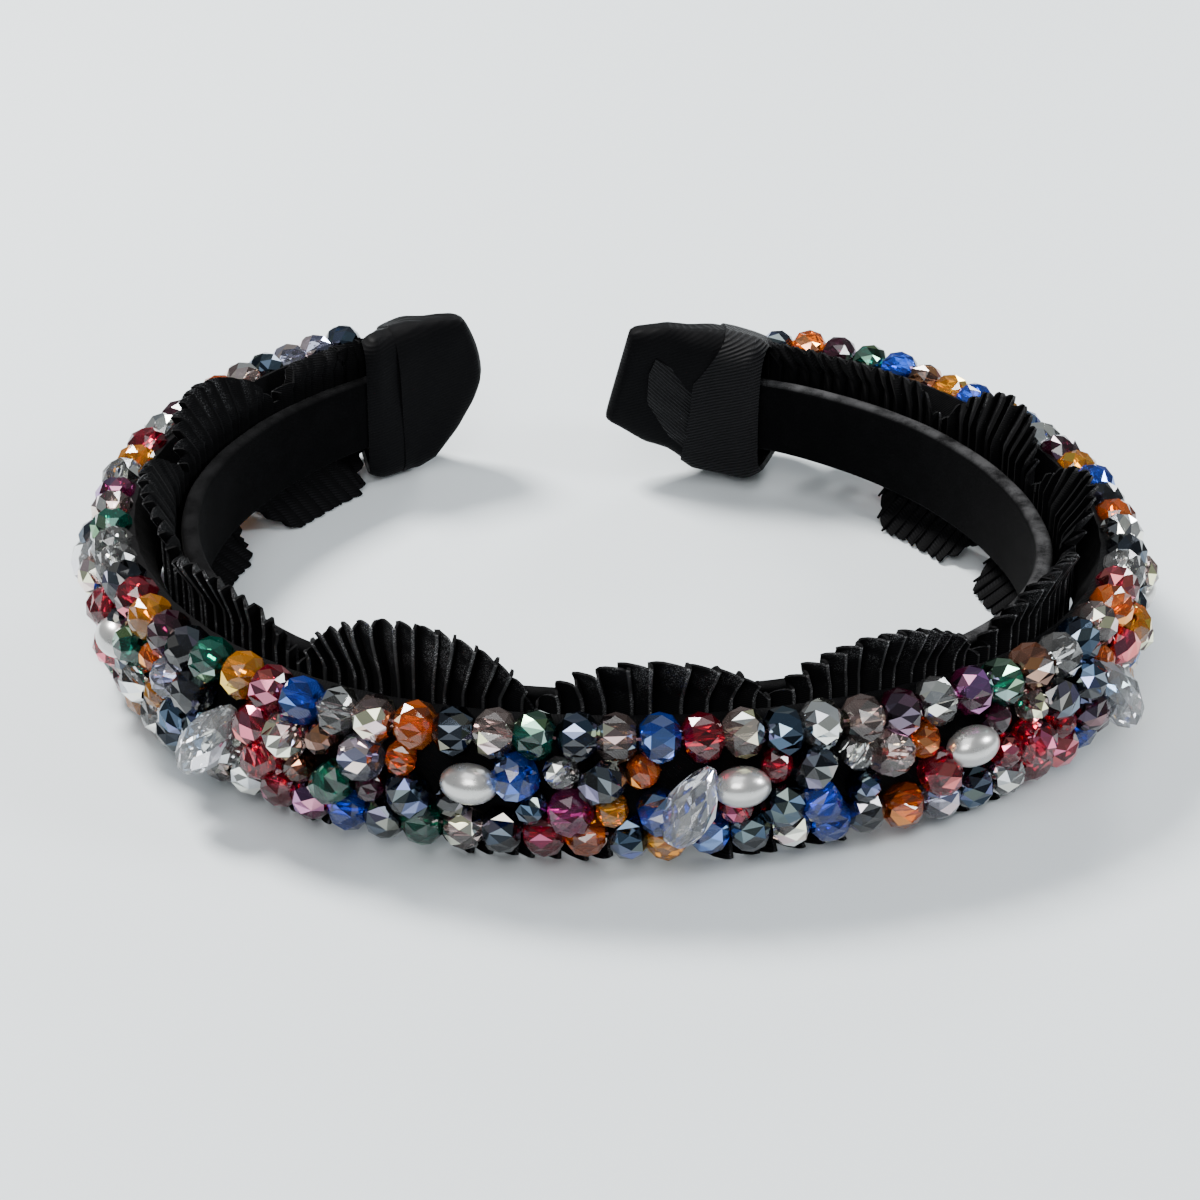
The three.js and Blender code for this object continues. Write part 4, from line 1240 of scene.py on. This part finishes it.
class HEADBAND_OT_sleeves(bpy.types.Operator):
    """Make the flat covered tips and the ribbon wound round both ends"""

    bl_idname = "headband.sleeves"
    bl_label = "End Sleeves"
    bl_options = {"REGISTER", "UNDO"}

    def execute(self, context):
        sizes = context.scene.headband_sizes
        colours = context.scene.headband_colours
        for side, (slant, relief_and_sheen) in WRAP_WEAVE.items():
            tip = self.tip_cover(side)
            self.finish_cloth(tip, sizes, colours, side, slant, TIP_RELIEF_AND_SHEEN)
            wrap = self.wound_ribbon(side)
            self.finish_cloth(wrap, sizes, colours, side, slant, relief_and_sheen)
        fold = self.folded_corner()
        self.finish_cloth(
            fold, sizes, colours, "right", FOLD_SLANT, FOLD_RELIEF_AND_SHEEN, CORNER_WIDTH, "folded")
        return {"FINISHED"}

    def tip_cover(self, side):
        """Makes the cover of one tip, flat towards its end and a little creased."""
        tip = sweep("end_tip_" + side, even_loop(64), 0, 1, 1 / 30, closed=False)
        grid = places(tip)
        across, up = grid[:, 1] / MM, grid[:, 2] / MM
        share = TIP_START + (1 - TIP_START) * grid[:, 0]
        along, depth, height = sleeve_point(side, share, across, up)
        rounding = 1 - np.sqrt(1 - ramp(grid[:, 0], 0.93, 0.07) ** 2)
        depth = depth + (0.7 * MM - depth) * 0.6 * rounding
        crease = 0.2 * MM * np.sin(along * 620 + height * 260) * (1 - rounding) * up * np.abs(across)
        move_to(tip, np.column_stack([along, depth + crease, height]))
        self.close_tip(tip)
        bend_round(tip)
        return tip

    def wound_ribbon(self, side):
        """Makes the ribbon that is wound round one end, pulled a little uneven, with its lip turned in."""
        wrap = sweep("end_wrap_" + side, even_loop(96), 0, 1, 1 / 28, closed=False)
        grid = places(wrap)
        across, up = grid[:, 1] / MM, grid[:, 2] / MM
        *inner_edge, outer_edge = WRAP_EDGES[side]
        inner = np.interp(up, *np.array(inner_edge).T)
        edge = inner + (outer_edge - inner) * ramp(across, -1, 2)
        along, depth, height = sleeve_point(side, grid[:, 0] * edge, across, up, out=WRAP_OVER)
        pull = np.sin(along * 300 + height * 330) + 0.5 * np.sin(along * 710 - height * 180)
        lip = (1 - ramp(grid[:, 0], 0, 0.25)) ** 2
        depth = depth + 0.16 * MM * pull * across * (1 - lip)
        depth = depth - np.where(across < 0, 1, 0.7) * MM * lip * across
        height = height + 0.12 * MM * pull * up - 1.2 * MM * lip * up
        move_to(wrap, np.column_stack([along, depth, height]))
        bend_round(wrap)
        return wrap

    def folded_corner(self):
        """Makes the ribbed corner of ribbon that is folded out of the right wrap."""
        start()
        bpy.ops.mesh.primitive_grid_add(x_subdivisions=26, y_subdivisions=26, size=2)
        fold = bpy.context.object
        fold.name = "end_fold_right"
        grid = places(fold)
        under, share = (grid[:, 0] + 1) / 2, (grid[:, 1] + 1) / 2
        table = np.array(FOLD)
        free_way = np.interp(share, table[:, 0], table[:, 1]) * MM
        free_height = np.interp(share, table[:, 0], table[:, 2]) * MM
        way = free_way + (FOLD_ROOT * MM - free_way) * under
        height = free_height + ((FOLD_BOTTOM + FOLD_HEIGHT * share) * MM - free_height) * under
        puff = np.sin(np.pi * np.clip(share, 0.02, 0.98)) * np.sin(np.pi * (0.25 + 0.75 * under))
        depth = SLEEVE_NEAR - (0.9 - 0.7 * under + puff + 0.12 * np.sin(share * 22 + under * 4)) * MM
        move_to(fold, np.column_stack([RIGHT_END - way, depth, height - FRONT_SEAT.z]))
        bend_round(fold)
        return fold

    def close_tip(self, piece):
        """Caps the far end of a tip cover, and leaves its mouth open."""
        start()
        piece.select_set(True)
        bpy.context.view_layer.objects.active = piece
        points = places(piece)
        far = max(abs(points[:, 0])) - 6 * MM
        bpy.ops.object.mode_set(mode="EDIT")
        bpy.ops.mesh.select_mode(type="EDGE")
        bpy.ops.mesh.select_all(action="DESELECT")
        mesh = bmesh.from_edit_mesh(piece.data)
        for edge in mesh.edges:
            if edge.is_boundary and min(abs(vertex.co.x) for vertex in edge.verts) > far:
                edge.select_set(True)
        bmesh.update_edit_mesh(piece.data)
        bpy.ops.mesh.edge_face_add()
        bpy.ops.mesh.inset(thickness=0.5 * MM)
        bpy.ops.mesh.select_all(action="SELECT")
        bpy.ops.mesh.normals_make_consistent(inside=False)
        bpy.ops.object.mode_set(mode="OBJECT")

    def finish_cloth(
            self, piece, sizes, colours, side, slant, relief_and_sheen, width=WOUND_WIDTH, held="stretched"):
        """Gives a sleeve piece the thickness of its cloth and its ribbed weave."""
        wall = piece.modifiers.new("Cloth", "SOLIDIFY")
        wall.thickness = sizes.sleeve_cloth
        wall.offset = -1
        apply(piece, wall)
        paint = grosgrain_paint(colours, piece.name.replace("_", " "), slant, relief_and_sheen)
        dress(piece, paint, "black_ribbon", "end_sleeve_" + side, smooth=50)


class HEADBAND_PT_panel(bpy.types.Panel):
    """Lists the sizes, the colours and the steps of the headband"""

    bl_idname = "HEADBAND_PT_panel"
    bl_label = "Beaded Headband"
    bl_space_type = "VIEW_3D"
    bl_region_type = "UI"
    bl_category = "Headband"

    def draw(self, context):
        for group in (context.scene.headband_sizes, context.scene.headband_colours):
            column = self.layout.column()
            for name in group.__annotations__:
                column.prop(group, name)
        for operator in OPERATORS:
            self.layout.operator(operator.bl_idname)


OPERATORS = (
    HEADBAND_OT_stage,
    HEADBAND_OT_hard_band,
    HEADBAND_OT_pleated_ribbon,
    HEADBAND_OT_padded_strip,
    HEADBAND_OT_beads,
    HEADBAND_OT_pearls,
    HEADBAND_OT_drops,
    HEADBAND_OT_threads,
    HEADBAND_OT_sleeves,
)
CLASSES = (HeadbandSizes, HeadbandColours, *OPERATORS, HEADBAND_PT_panel)


def register():
    for each in CLASSES:
        bpy.utils.register_class(each)
    bpy.types.Scene.headband_sizes = PointerProperty(type=HeadbandSizes)
    bpy.types.Scene.headband_colours = PointerProperty(type=HeadbandColours)


def unregister():
    del bpy.types.Scene.headband_colours
    del bpy.types.Scene.headband_sizes
    for each in reversed(CLASSES):
        bpy.utils.unregister_class(each)


def main():
    register()
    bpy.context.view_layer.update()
    bpy.ops.headband.stage()
    bpy.ops.headband.hard_band()
    bpy.ops.headband.pleated_ribbon()
    bpy.ops.headband.padded_strip()
    bpy.ops.headband.beads()
    bpy.ops.headband.pearls()
    bpy.ops.headband.drops()
    bpy.ops.headband.threads()
    bpy.ops.headband.sleeves()


if __name__ == "__main__":
    main()
